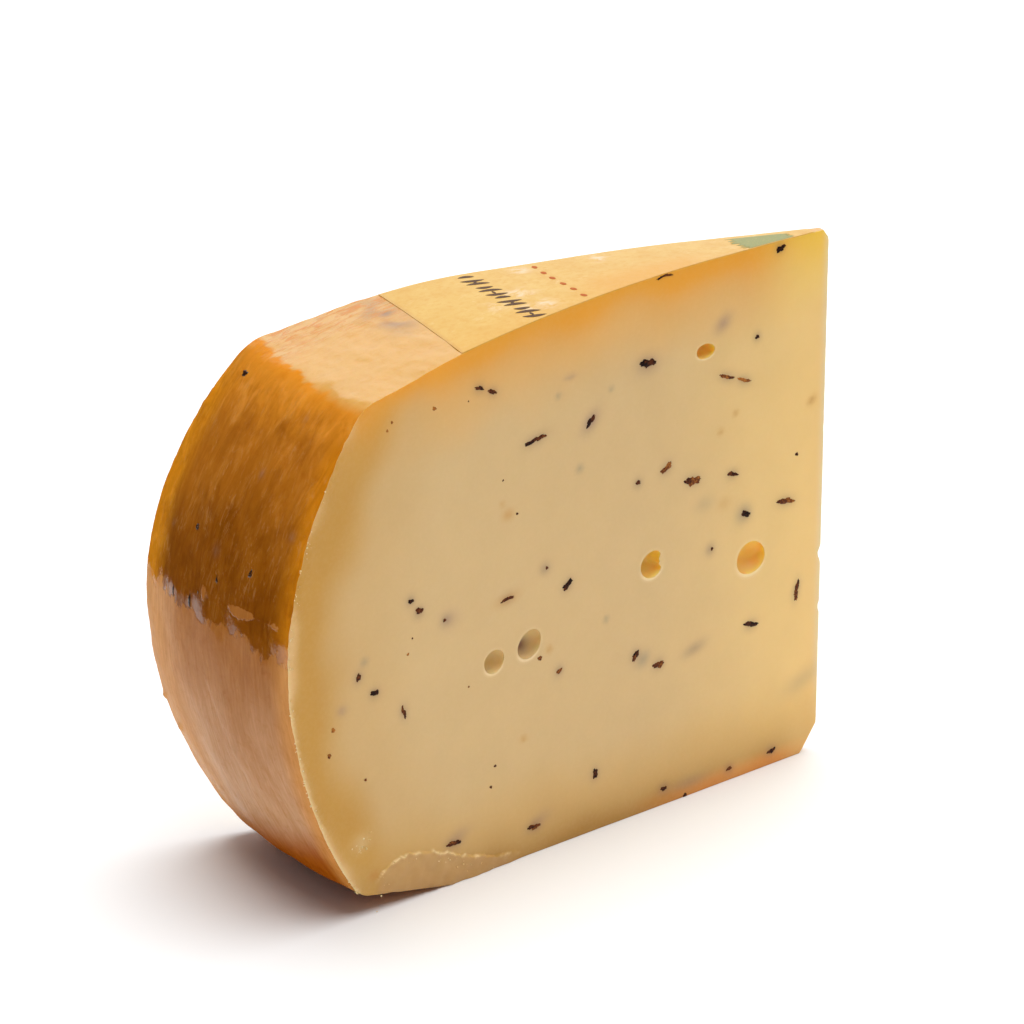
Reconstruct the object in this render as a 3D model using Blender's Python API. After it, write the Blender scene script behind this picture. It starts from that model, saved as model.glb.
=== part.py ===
"""A wedge of truffle cheese as it is sold: a sixteenth of a waxed Gouda wheel, and the label on its top.

Metres, +Z up. The origin is on the ground at the middle of the footprint. The wheel's axis stands at AXIS_X,
the wedge's tip is just past it, and the rim faces -X. The front cut faces -Y and the back cut +Y. A place on a cut is
its radius from the wheel's axis and its height. A turn is how far round the wedge a place is, from 0 at the
front cut to 1 at the back cut: the wheel is hand-made and differs a little from one cut to the other.
"""
import math
import random

import bmesh
import bpy
from mathutils import Matrix, Vector

# The wheel
HEIGHT = 0.096
RIM_RADIUS = 0.1223
WAIST_HEIGHT = 0.0457      # where the rim is widest
UPPER_CURVE = (9.3, 10.5)  # how fast the side draws in above the waist, at the front cut and at the back cut
LOWER_CURVE = (8.3, 8.0)   # and below it
FLAT_RADIUS = 0.025        # the top is flat this far out
DOME_RADIUS = 0.086        # then domed to here, then straight to the shoulder
DOME_DROP = 0.0046
CROWN_SWELL = 0.0007       # the dome is fuller by this much at the back cut, round the swell's radius
SWELL_RADIUS = 0.072
SWELL_SPREAD = 0.013
SHOULDER_HEIGHT = 0.0868
HEEL_HEIGHT = 0.0039       # where the side ends, above the ground
FOOT_RADIUS = 0.088        # the underside is flat this far out
SHOULDER_ROUND = 0.003
HEEL_ROUND = 0.003
CORNER_MARGIN = 1.6        # the side's points keep this many times a corner's round away from it
TOP_STEPS = 8
SIDE_STEPS = 14
RIM_RELIEF = 0.00025       # how far the rind bulges and sinks

# The wedge
WEDGE_ANGLE = math.radians(22.5)
TIP_PAST_AXIS = 0.0007     # the front cut runs on past the wheel's axis this far
TIP_WIDTH = 0.0012         # how far from the axis the back cut passes, which leaves the tip blunt
TURN_STEPS = 18
HALF_ANGLE = WEDGE_ANGLE / 2
AXIS_X = (RIM_RADIUS - TIP_PAST_AXIS * math.cos(HALF_ANGLE)) / 2
FRONT, BACK = 1, -1

# The label, let into the top and cut through with the cheese
LABEL_LENGTH = 0.0814      # from the wheel's axis to its straight outer edge, along the wedge's middle
LABEL_SKEW = 0.114         # how much further out that edge is for each metre towards the front cut
LABEL_TIP = 0.004
LABEL_THICKNESS = 0.0003
GAP = 0.0003
LABEL_ROW = 0.004          # one row of faces along it
LABEL_COLUMNS = 4
PAST_TIP = 0.004           # how far the recess's cutter passes the tip, the cuts and the top
PAST_CUTS = 0.001
PAST_TOP = 0.004

# Eyes, the round holes in the paste: radius, height, width, height of the opening, tilt in degrees
FRONT_EYES = [
    (0.0291, 0.0802, 0.0044, 0.0026, 0),
    (0.0412, 0.0450, 0.0053, 0.0048, 15),
    (0.0170, 0.0403, 0.0070, 0.0059, 0),
    (0.0698, 0.0380, 0.0056, 0.0047, 35),
    (0.0778, 0.0370, 0.0045, 0.0040, 23),
]
BACK_EYES = [
    (0.0330, 0.0640, 0.0060, 0.0052, 10),
    (0.0590, 0.0300, 0.0048, 0.0062, -15),
    (0.0850, 0.0560, 0.0052, 0.0044, 0),
    (0.0220, 0.0270, 0.0036, 0.0030, 0),
]
EYE_DEPTH = 0.0024
EYE_SINK = 0.25            # an eye is widest this share of its depth inside the cut

# Truffle flakes that show on the front cut: radius, height, length, thickness, and tilt up to the tip in degrees
FRONT_FLAKES = [
    (0.0113, 0.0948, 0.0019, 0.0011, 0),
    (0.0429, 0.0811, 0.0034, 0.0015, -12),
    (0.0166, 0.0802, 0.0010, 0.0008, 0),
    (0.0239, 0.0746, 0.0036, 0.0008, -18),
    (0.0196, 0.0731, 0.0034, 0.0008, -20),
    (0.0561, 0.0738, 0.0024, 0.0013, 41),
    (0.0686, 0.0735, 0.0053, 0.0009, 9),
    (0.0812, 0.0849, 0.0018, 0.0008, -19),
    (0.0783, 0.0838, 0.0018, 0.0008, -19),
    (0.0381, 0.0615, 0.0022, 0.0013, 28),
    (0.0317, 0.0579, 0.0037, 0.0014, -10),
    (0.0220, 0.0568, 0.0022, 0.0008, -9),
    (0.0185, 0.0488, 0.0018, 0.0012, -13),
    (0.0085, 0.0487, 0.0043, 0.0011, -8),
    (0.0271, 0.0443, 0.0014, 0.0011, 0),
    (0.0448, 0.0604, 0.0012, 0.0008, 0),
    (0.0663, 0.0505, 0.0014, 0.0010, 0),
    (0.0611, 0.0463, 0.0020, 0.0013, 34),
    (0.0749, 0.0473, 0.0024, 0.0009, 6),
    (0.0629, 0.0315, 0.0013, 0.0010, 27),
    (0.0450, 0.0296, 0.0018, 0.0014, 47),
    (0.0394, 0.0265, 0.0023, 0.0014, 0),
    (0.0307, 0.0271, 0.0050, 0.0010, 13),
    (0.0166, 0.0279, 0.0027, 0.0012, -3),
    (0.0053, 0.0314, 0.0039, 0.0012, 78),
    (0.0543, 0.0105, 0.0017, 0.0013, 90),
    (0.0376, 0.0031, 0.0016, 0.0010, 0),
    (0.0214, 0.0022, 0.0014, 0.0009, 0),
    (0.0108, 0.0026, 0.0018, 0.0010, 0),
    (0.0962, 0.0523, 0.0012, 0.0010, 0),
    (0.0944, 0.0499, 0.0016, 0.0012, -14),
    (0.0884, 0.0471, 0.0014, 0.0010, 0),
    (0.1076, 0.0421, 0.0014, 0.0011, 76),
    (0.1041, 0.0385, 0.0017, 0.0010, -7),
    (0.0979, 0.0336, 0.0023, 0.0008, 107),
    (0.0868, 0.0072, 0.0030, 0.0009, -2),
    (0.0685, 0.0049, 0.0028, 0.0010, 0),
]
FLAKE_PROUD = 0.0003
FLAKE_UNEVENNESS = 0.18

# The back cut has as many flakes, placed by a rule
BACK_FLAKE_COUNT = 34
BACK_FLAKE_LENGTHS = (0.0012, 0.0045)
BACK_FLAKE_THICKNESSES = (0.0008, 0.0014)
BACK_FLAKE_TILTS = (-40, 60)
BACK_FLAKE_CLEARANCE = 0.006
SMALL_FLAKE_SHARE = 2.5    # the higher, the more of them are short
EDGE_CLEARANCE = 0.003
RANDOM_SEED = 11

# The crumbly strip that broke along the front cut's foot, from the rim inwards: radius and height of its top line
FOOT_CRACK = [
    (0.1040, 0.0058),
    (0.1019, 0.0074),
    (0.0988, 0.0083),
    (0.0954, 0.0082),
    (0.0907, 0.0070),
    (0.0854, 0.0047),
    (0.0777, 0.0024),
    (0.0715, 0.0012),
]
FOOT_EDGE = [(0.0760, 0.0004), (0.0870, 0.0004), (0.0905, 0.0009), (0.1015, 0.0034)]
FOOT_CRACK_PROUD = 0.0004

# Chips out of the tip's edge: height of the middle, depth along the cut, half height
TIP_CHIPS = [
    (0.0, 0.0040, 0.0050),
    (0.0270, 0.0005, 0.0009),
    (0.0369, 0.0008, 0.0015),
    (HEIGHT, 0.0014, 0.0016),
]

# Colours of the bare model, linear
PASTE_COLOUR = (0.66, 0.44, 0.19)
RIND_COLOUR = (0.50, 0.22, 0.04)
TRUFFLE_COLOUR = (0.03, 0.018, 0.012)
LABEL_COLOUR = (0.80, 0.52, 0.20)


def remove_everything():
    for item in list(bpy.data.objects):
        bpy.data.objects.remove(item, do_unlink=True)


def spaced(first, last, steps):
    """Evenly spaced values, both ends among them."""
    return [first + (last - first) * step / steps for step in range(steps + 1)]


def material(name, colour, roughness):
    made = bpy.data.materials.new(name)
    made.use_nodes = True
    shader = made.node_tree.nodes["Principled BSDF"]
    shader.inputs["Base Color"].default_value = (*colour, 1.0)
    shader.inputs["Roughness"].default_value = roughness
    shader.inputs["Metallic"].default_value = 0.0
    return made


def object_of(name, mesh_data, finish, collection=None):
    """An object in a collection that holds what the bmesh holds, with its faces pointing out."""
    bmesh.ops.recalc_face_normals(mesh_data, faces=mesh_data.faces)
    mesh = bpy.data.meshes.new(name)
    mesh_data.to_mesh(mesh)
    mesh_data.free()
    mesh.materials.append(finish)
    made = bpy.data.objects.new(name, mesh)
    (collection or bpy.context.scene.collection).objects.link(made)
    return made


def between(pair, turn):
    """A value that runs from the pair's first at the front cut to its second at the back cut."""
    return pair[0] + (pair[1] - pair[0]) * turn


def top_height(radius, turn):
    """The wheel's top: flat in the middle, then a shallow dome."""
    past_flat = max(0.0, radius - FLAT_RADIUS) / (DOME_RADIUS - FLAT_RADIUS)
    swell = CROWN_SWELL * turn * math.exp(-((radius - SWELL_RADIUS) / SWELL_SPREAD) ** 2)
    return HEIGHT - DOME_DROP * past_flat ** 2 + swell


def side_radius(height, turn):
    """The wheel's side: a parabola that is widest at the waist."""
    over_waist = height - WAIST_HEIGHT
    curve = between(UPPER_CURVE if over_waist > 0 else LOWER_CURVE, turn)
    return RIM_RADIUS - curve * over_waist ** 2


def rounded(before, corner, after, reach, steps=4):
    """Points of a soft corner, which leaves its two sides this far from where they would meet."""
    corner = Vector(corner)
    start = corner + (Vector(before) - corner).normalized() * reach
    end = corner + (Vector(after) - corner).normalized() * reach
    return [tuple(start.lerp(corner, t).lerp(corner.lerp(end, t), t)) for t in spaced(0, 1, steps)]


def wheel_profile(turn):
    """The wheel's outline as (radius, height), from its flat top round the rim to its flat foot."""
    top = [(radius, top_height(radius, turn)) for radius in spaced(FLAT_RADIUS, DOME_RADIUS, TOP_STEPS)]
    shoulder = (side_radius(SHOULDER_HEIGHT, turn), SHOULDER_HEIGHT)
    heel = (side_radius(HEEL_HEIGHT, turn), HEEL_HEIGHT)
    foot = (FOOT_RADIUS, 0.0)
    highest = SHOULDER_HEIGHT - SHOULDER_ROUND * CORNER_MARGIN
    lowest = HEEL_HEIGHT + HEEL_ROUND * CORNER_MARGIN
    side = [(side_radius(height, turn), height) for height in spaced(highest, lowest, SIDE_STEPS)]
    return (top + rounded(top[-1], shoulder, side[0], SHOULDER_ROUND) + side
            + rounded(side[-1], heel, foot, HEEL_ROUND) + [foot])


def rim_relief(turn, height):
    """How far the waxed rind stands out or in, a slow uneven swell round the rim."""
    slow = math.sin(9 * turn + 60 * height) * math.cos(90 * height + 1.0)
    quick = math.sin(24 * turn - 110 * height + 2.0) * 0.5
    return RIM_RELIEF * (slow + quick) / 1.5


def wheel_point(turn, radius, height):
    angle = HALF_ANGLE * (1 - 2 * turn)
    on_axis_cut = Vector((AXIS_X - radius * math.cos(angle), -radius * math.sin(angle), height))
    past_axis = TIP_WIDTH * turn * (1 - radius / RIM_RADIUS)
    return on_axis_cut + Vector((math.sin(HALF_ANGLE), math.cos(HALF_ANGLE), 0.0)) * past_axis


def wedge(paste, rind):
    """The wedge with plain cuts. Its first and last rows of points are the outlines of the two cuts."""
    shape = bmesh.new()
    rows = []
    for turn in spaced(0, 1, TURN_STEPS):
        row = []
        for radius, height in wheel_profile(turn):
            swell = rim_relief(turn, height) if radius > DOME_RADIUS and height > HEEL_HEIGHT else 0.0
            row.append(shape.verts.new(wheel_point(turn, radius + swell, height)))
        rows.append(row)
    tip_tops = [shape.verts.new(wheel_point(turn, -TIP_PAST_AXIS, HEIGHT)) for turn in (0, 1)]
    tip_feet = [shape.verts.new(wheel_point(turn, -TIP_PAST_AXIS, 0.0)) for turn in (0, 1)]
    rind_faces = []
    for row, following in zip(rows, rows[1:]):
        for upper in range(len(row) - 1):
            corners = (row[upper], row[upper + 1], following[upper + 1], following[upper])
            rind_faces.append(shape.faces.new(corners))
    rind_faces.append(shape.faces.new([row[0] for row in rows] + tip_tops[::-1]))
    rind_faces.append(shape.faces.new([row[-1] for row in rows] + tip_feet[::-1]))
    shape.faces.new(rows[0] + [tip_feet[0], tip_tops[0]])
    shape.faces.new(rows[-1] + [tip_feet[1], tip_tops[1]])
    shape.faces.new((tip_tops[0], tip_feet[0], tip_feet[1], tip_tops[1]))
    for face in rind_faces:
        face.material_index = 1
    made = object_of("cheese_wedge", shape, paste)
    made.data.materials.append(rind)
    return made


def cut_across(side, along):
    """How far from the wedge's middle plane a cut is, at a distance from the axis along that plane."""
    if side == FRONT:
        return -along * math.tan(HALF_ANGLE)
    share = (along + TIP_WIDTH * math.sin(HALF_ANGLE)) / RIM_RADIUS
    radius = share / (math.cos(HALF_ANGLE) + TIP_WIDTH * math.sin(HALF_ANGLE) / RIM_RADIUS) * RIM_RADIUS
    return radius * math.sin(HALF_ANGLE) + TIP_WIDTH * (1 - radius / RIM_RADIUS) * math.cos(HALF_ANGLE)


def label_line(along, side_margin):
    """Points across the wedge, as (along, across), that turn with the label's skew and pass both cuts."""
    skew = LABEL_SKEW * max(0.0, along) / LABEL_LENGTH * math.tan(HALF_ANGLE)
    at_front, at_back = along / (1 - skew), along / (1 + skew)
    front = Vector((at_front, cut_across(FRONT, max(0.0, at_front)) - side_margin))
    back = Vector((at_back, cut_across(BACK, max(0.0, at_back)) + side_margin))
    return [front.lerp(back, share) for share in spaced(0, 1, LABEL_COLUMNS)]


def slab_on_dome(name, start, end, side_margin, low, high, finish, collection=None):
    """A plate that follows the wheel's top, from one distance along the wedge's middle to another.

    low and high are its faces' heights over the top, and side_margin is how far it passes the two cuts.
    """
    shape = bmesh.new()
    layers = []
    for rise in (low, high):
        layer = []
        for distance in spaced(start, end, round((end - start) / LABEL_ROW)):
            row = []
            for along, across in label_line(distance, side_margin):
                turn = min(1.0, max(0.0, (1 + math.atan2(across, along) / HALF_ANGLE) / 2))
                height = top_height(math.hypot(along, across), turn) + rise
                row.append(shape.verts.new((AXIS_X - along, across, height)))
            layer.append(row)
        layers.append(layer)
        for row, following in zip(layer, layer[1:]):
            for left in range(LABEL_COLUMNS):
                corners = (row[left], row[left + 1], following[left + 1], following[left])
                bmesh.ops.triangulate(shape, faces=[shape.faces.new(corners)])
    borders = []
    for layer in layers:
        right_side = [row[-1] for row in layer[1:]]
        left_side = [row[0] for row in reversed(layer[1:-1])]
        borders.append(layer[0] + right_side + list(reversed(layer[-1][:-1])) + left_side)
    lower, upper = borders
    for here in range(len(lower)):
        after = (here + 1) % len(lower)
        shape.faces.new((lower[here], lower[after], upper[after], upper[here]))
    return object_of(name, shape, finish, collection)


def on_cut(side, radius, height, out=0.0):
    """A point on a cut, or this far out of it."""
    outward = Vector((math.sin(HALF_ANGLE), -side * math.cos(HALF_ANGLE), 0.0))
    return wheel_point(0 if side == FRONT else 1, radius, height) + outward * out


def cut_frame(side, centre, tilt_degrees):
    """Turns local X to run along the cut, local Y to point out of it and local Z up, then tilts about Y."""
    turn = math.pi + HALF_ANGLE if side == FRONT else -HALF_ANGLE
    tilt = Matrix.Rotation(math.radians(tilt_degrees * side), 4, "Y")
    return Matrix.Translation(centre) @ Matrix.Rotation(turn, 4, "Z") @ tilt


def eye_cutter(side, eye, paste, collection):
    """An egg-shaped cutter that opens the cut to the eye's size and is widest a little inside."""
    radius, height, width, opening_height, tilt = eye
    centre = on_cut(side, radius, height, -EYE_DEPTH * EYE_SINK)
    widest = 1 / math.sqrt(1 - EYE_SINK ** 2)
    shape = bmesh.new()
    bmesh.ops.create_icosphere(shape, subdivisions=3, radius=1.0)
    size = (width / 2 * widest, EYE_DEPTH, opening_height / 2 * widest)
    bmesh.ops.scale(shape, vec=size, verts=shape.verts)
    bmesh.ops.transform(shape, matrix=cut_frame(side, centre, tilt), verts=shape.verts)
    object_of("eye", shape, paste, collection)


def tip_chip_cutter(chip, paste, collection):
    """A bar across the tip's edge, diamond-shaped in section, that takes a chip out of it."""
    height, depth, half_height = chip
    tip_x = AXIS_X + TIP_PAST_AXIS * math.cos(HALF_ANGLE)
    half_bar = depth + TIP_WIDTH   # past both cuts
    corners = ((-depth, 0), (0, -half_height), (depth, 0), (0, half_height))
    shape = bmesh.new()
    ends = [[shape.verts.new((tip_x + x, y, height + z)) for x, z in corners] for y in (-half_bar, half_bar)]
    for end in ends:
        shape.faces.new(end)
    for here in range(4):
        after = (here + 1) % 4
        shape.faces.new((ends[0][here], ends[0][after], ends[1][after], ends[1][here]))
    object_of("tip_chip", shape, paste, collection)


def flake(side, place, truffle, collection, draw):
    """A rough bit of truffle, half sunk in the paste."""
    radius, height, length, thickness, tilt = place
    shape = bmesh.new()
    bmesh.ops.create_icosphere(shape, subdivisions=1, radius=1.0)
    for corner in shape.verts:
        corner.co *= 1.0 + draw.uniform(-FLAKE_UNEVENNESS, FLAKE_UNEVENNESS)
    bmesh.ops.scale(shape, vec=(length / 2, FLAKE_PROUD, thickness / 2), verts=shape.verts)
    bmesh.ops.transform(shape, matrix=cut_frame(side, on_cut(side, radius, height), tilt), verts=shape.verts)
    object_of("flake", shape, truffle, collection)


def clear_of(taken, radius, height, clearance):
    return all(math.hypot(radius - other[0], height - other[1]) > clearance for other in taken)


def back_flakes(draw):
    """Places for the back cut's flakes, well inside the outline and apart from each other and from the eyes."""
    places = []
    while len(places) < BACK_FLAKE_COUNT:
        radius = draw.uniform(EDGE_CLEARANCE, RIM_RADIUS)
        height = draw.uniform(EDGE_CLEARANCE, HEIGHT)
        inside_side = radius < side_radius(min(height, SHOULDER_HEIGHT), 1) - EDGE_CLEARANCE
        inside_top = height < top_height(radius, 1) - EDGE_CLEARANCE
        if inside_side and inside_top and clear_of(BACK_EYES + places, radius, height, BACK_FLAKE_CLEARANCE):
            shortest, longest = BACK_FLAKE_LENGTHS
            length = shortest + (longest - shortest) * draw.random() ** SMALL_FLAKE_SHARE
            thickness = draw.uniform(*BACK_FLAKE_THICKNESSES)
            places.append((radius, height, length, thickness, draw.uniform(*BACK_FLAKE_TILTS)))
    return places


def foot_strip(paste, collection):
    """The broken strip along the foot of the front cut, a thin step that stands out of it."""
    outline = FOOT_CRACK + FOOT_EDGE
    shape = bmesh.new()
    sheets = [[shape.verts.new(on_cut(FRONT, radius, height, out)) for radius, height in outline]
              for out in (-FOOT_CRACK_PROUD * 2, FOOT_CRACK_PROUD)]
    for sheet in sheets:
        shape.faces.new(sheet)
    for here in range(len(outline)):
        after = (here + 1) % len(outline)
        shape.faces.new((sheets[0][here], sheets[0][after], sheets[1][after], sheets[1][here]))
    object_of("foot_strip", shape, paste, collection)


def new_collection(name):
    made = bpy.data.collections.new(name)
    bpy.context.scene.collection.children.link(made)
    return made


def combine(body, collection, operation):
    """Cuts the collection out of the body, or joins it on, and removes the collection and what it held."""
    boolean = body.modifiers.new(collection.name, "BOOLEAN")
    boolean.operation = operation
    boolean.operand_type = "COLLECTION"
    boolean.collection = collection
    boolean.solver = "EXACT"
    boolean.material_mode = "TRANSFER"
    evaluated = body.evaluated_get(bpy.context.evaluated_depsgraph_get())
    result = bpy.data.meshes.new_from_object(evaluated)
    body.modifiers.clear()
    body.data = result
    for item in list(collection.objects):
        bpy.data.objects.remove(item, do_unlink=True)
    bpy.data.collections.remove(collection)


def cheese(paste, rind, truffle):
    """The wedge with its eyes, chips and label recess cut out, and its flakes and broken foot joined on."""
    draw = random.Random(RANDOM_SEED)
    body = wedge(paste, rind)
    cutters = new_collection("cutters")
    for side, eyes in ((FRONT, FRONT_EYES), (BACK, BACK_EYES)):
        for eye in eyes:
            eye_cutter(side, eye, paste, cutters)
    for chip in TIP_CHIPS:
        tip_chip_cutter(chip, paste, cutters)
    recess_floor = -LABEL_THICKNESS - GAP
    slab_on_dome("recess", -PAST_TIP, LABEL_LENGTH + GAP, PAST_CUTS, recess_floor, PAST_TOP, rind, cutters)
    combine(body, cutters, "DIFFERENCE")
    additions = new_collection("additions")
    for side, places in ((FRONT, FRONT_FLAKES), (BACK, back_flakes(draw))):
        for place in places:
            flake(side, place, truffle, additions, draw)
    foot_strip(paste, additions)
    combine(body, additions, "UNION")
    return body


def shade(made):
    made.data.shade_smooth()
    made.data.set_sharp_from_angle(angle=math.radians(30))


def main():
    remove_everything()
    paste = material("paste", PASTE_COLOUR, 0.45)
    rind = material("rind", RIND_COLOUR, 0.25)
    truffle = material("truffle", TRUFFLE_COLOUR, 0.6)
    paper = material("label", LABEL_COLOUR, 0.4)
    shade(cheese(paste, rind, truffle))
    shade(slab_on_dome("rind_label", LABEL_TIP, LABEL_LENGTH, 0.0, -LABEL_THICKNESS, 0.0, paper))


main()
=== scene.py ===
import math
import random

import bmesh
import bpy
import numpy as np
from mathutils import Matrix, Vector, noise
from mathutils.geometry import delaunay_2d_cdt


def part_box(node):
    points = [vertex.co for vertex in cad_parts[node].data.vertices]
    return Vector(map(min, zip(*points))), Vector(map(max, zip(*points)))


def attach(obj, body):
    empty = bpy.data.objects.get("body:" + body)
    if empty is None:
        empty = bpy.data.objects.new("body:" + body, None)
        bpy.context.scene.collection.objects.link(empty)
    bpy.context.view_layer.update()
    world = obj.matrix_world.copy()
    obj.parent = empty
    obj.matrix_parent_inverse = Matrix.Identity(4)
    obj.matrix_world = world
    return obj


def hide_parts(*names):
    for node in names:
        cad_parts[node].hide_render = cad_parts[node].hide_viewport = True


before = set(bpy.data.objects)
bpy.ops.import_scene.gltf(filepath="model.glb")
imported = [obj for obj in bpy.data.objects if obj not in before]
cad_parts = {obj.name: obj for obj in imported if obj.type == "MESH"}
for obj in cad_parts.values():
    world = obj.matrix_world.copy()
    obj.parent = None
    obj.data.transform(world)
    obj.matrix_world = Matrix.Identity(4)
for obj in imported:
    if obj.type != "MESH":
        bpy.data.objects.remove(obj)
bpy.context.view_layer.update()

MM = 0.001
FRONT, BACK = 1, -1

# The wheel, in the sizes that the frame's solids were made with
RIM_RADIUS = 0.1223
HEIGHT = 0.096
WAIST_HEIGHT = 0.0457
UPPER_CURVE = (9.3, 10.5)
LOWER_CURVE = (8.3, 8.0)
FLAT_RADIUS = 0.025
DOME_RADIUS = 0.086
DOME_DROP = 0.0046
CROWN_SWELL = 0.0007
SWELL_RADIUS = 0.072
SWELL_SPREAD = 0.013
SHOULDER_HEIGHT = 0.0868
HEEL_HEIGHT = 0.0039
FOOT_RADIUS = 0.088
SHOULDER_ROUND = 0.003
HEEL_ROUND = 0.003
CORNER_MARGIN = 1.6
RIM_RELIEF = 0.00025
# Nubs of wax on the rim: turn, height, and how far they stand out
NUBS = [(0.978, 0.0794, 0.0005), (0.985, 0.0774, 0.0004), (0.990, 0.0270, 0.0005), (0.940, 0.0218, 0.0005)]
NUB_SIZE = 0.0006

# The wedge
WEDGE_DEGREES = 22.5
HALF_ANGLE = math.radians(WEDGE_DEGREES / 2)
TIP_PAST_AXIS = 0.0007
TIP_WIDTH = 0.0012
TIP_REACH = (TIP_PAST_AXIS * math.cos(HALF_ANGLE)
             + TIP_WIDTH * (1 + TIP_PAST_AXIS / RIM_RADIUS) * math.sin(HALF_ANGLE))
AXIS_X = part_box("cheese_wedge")[1].x - TIP_REACH
# Chips out of the tip's edge: height of the middle, depth along the cut, half height
TIP_CHIPS = [
    (0.0, 0.0040, 0.0050), (0.0270, 0.0005, 0.0009), (0.0369, 0.0008, 0.0015), (HEIGHT, 0.0014, 0.0016),
]

# How fine the mesh is
RIND_GRAIN = 0.0006
CUT_GRAIN = 0.0007
ROW_GRAIN = CUT_GRAIN * 0.866
GRAIN_SHIFT = 0.18         # how far a cut's inner points are moved, in grains
TURN_STEPS = 84
EDGE_MARGIN = 0.00035      # a cut's inner points keep this far from its outline

# Eyes: radius, height, width, height of the opening, tilt in degrees, how amber inside, which sets the
# painted glow in its colour and how much light the paste lets through
FRONT_EYES = [
    (0.0291, 0.0802, 0.0044, 0.0026, 0, 1.0),
    (0.0412, 0.0450, 0.0053, 0.0048, 15, 1.0),
    (0.0170, 0.0403, 0.0070, 0.0059, 0, 1.0),
    (0.0698, 0.0380, 0.0056, 0.0047, 35, 0.20),
    (0.0778, 0.0370, 0.0045, 0.0040, 23, 0.10),
]
BACK_EYES = [
    (0.0330, 0.0640, 0.0060, 0.0052, 10, 0.8),
    (0.0590, 0.0300, 0.0048, 0.0062, -15, 0.4),
    (0.0850, 0.0560, 0.0052, 0.0044, 0, 0.3),
    (0.0220, 0.0270, 0.0036, 0.0030, 0, 0.9),
]
EYE_DEPTH = 0.0024
EYE_SINK = 0.25
EYE_RINGS = 14
EYE_POINTS = 44
# A tongue of paste that leans into an eye from its tip side: the eye's number, its angle, spread and reach
TONGUE = (1, math.radians(-10), 0.42, 0.42)
LIP_RINGS = ((1.04, 0.00005), (1.10, 0.00002), (1.2, 0.0), (1.35, 0.0))   # share of the opening, and depth
LIP_SHARE = 1.06           # an eye's colour ends at this share of its opening
EYE_PATCH = (0.0697, 0.0373, 0.0013)   # a purple patch deep in an eye: radius, height, size

# Truffle flakes that show on the front cut: radius, height, length, thickness, tilt up to the tip in degrees,
# and how brown, from 0 for black to 1, or BURIED where the paste covers it and only its shadow shows
BURIED = -1
FRONT_FLAKES = [
    (0.0113, 0.0948, 0.0019, 0.0011, 0, 0.10),
    (0.0429, 0.0811, 0.0034, 0.0015, -12, 0.10),
    (0.0166, 0.0802, 0.0010, 0.0008, 0, 0.18),
    (0.0239, 0.0746, 0.0036, 0.0008, -18, 0.62),
    (0.0196, 0.0731, 0.0034, 0.0008, -20, 0.80),
    (0.0561, 0.0738, 0.0024, 0.0013, 41, 0.20),
    (0.0686, 0.0735, 0.0053, 0.0009, 9, 0.36),
    (0.0812, 0.0849, 0.0018, 0.0008, -19, 0.28),
    (0.0783, 0.0838, 0.0018, 0.0008, -19, 0.36),
    (0.0381, 0.0615, 0.0022, 0.0013, 28, 0.66),
    (0.0317, 0.0579, 0.0037, 0.0014, -10, 0.52),
    (0.0220, 0.0568, 0.0022, 0.0008, -9, 0.40),
    (0.0185, 0.0488, 0.0018, 0.0012, -13, 0.04),
    (0.0085, 0.0487, 0.0043, 0.0011, -8, 0.60),
    (0.0271, 0.0443, 0.0014, 0.0011, 0, BURIED),
    (0.0448, 0.0604, 0.0012, 0.0008, 0, 0.28),
    (0.0663, 0.0505, 0.0014, 0.0010, 0, BURIED),
    (0.0611, 0.0463, 0.0020, 0.0013, 34, 0.08),
    (0.0749, 0.0473, 0.0024, 0.0009, 6, 0.42),
    (0.0629, 0.0315, 0.0013, 0.0010, 27, 0.66),
    (0.0450, 0.0296, 0.0018, 0.0014, 47, 0.30),
    (0.0394, 0.0265, 0.0023, 0.0014, 0, 0.46),
    (0.0307, 0.0271, 0.0050, 0.0010, 13, BURIED),
    (0.0166, 0.0279, 0.0027, 0.0012, -3, 0.12),
    (0.0053, 0.0314, 0.0039, 0.0012, 78, 0.44),
    (0.0543, 0.0105, 0.0017, 0.0013, 90, 0.20),
    (0.0376, 0.0031, 0.0016, 0.0010, 0, 0.26),
    (0.0214, 0.0022, 0.0014, 0.0009, 0, 0.40),
    (0.0108, 0.0026, 0.0018, 0.0010, 0, 0.18),
    (0.0962, 0.0523, 0.0012, 0.0010, 0, 0.12),
    (0.0944, 0.0499, 0.0016, 0.0012, -14, 0.26),
    (0.0884, 0.0471, 0.0014, 0.0010, 0, BURIED),
    (0.1076, 0.0421, 0.0014, 0.0011, 76, 0.20),
    (0.1041, 0.0385, 0.0017, 0.0010, -7, 0.12),
    (0.0979, 0.0336, 0.0023, 0.0008, 107, 0.40),
    (0.0868, 0.0072, 0.0030, 0.0009, -2, 0.32),
    (0.0685, 0.0049, 0.0028, 0.0010, 0, 0.46),
]
# A flake that sits in the edge between the front cut and the top
EDGE_FLAKE = (0.0392, 0.0954, 0.0036, 0.0005, 4, 0.30)
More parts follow.
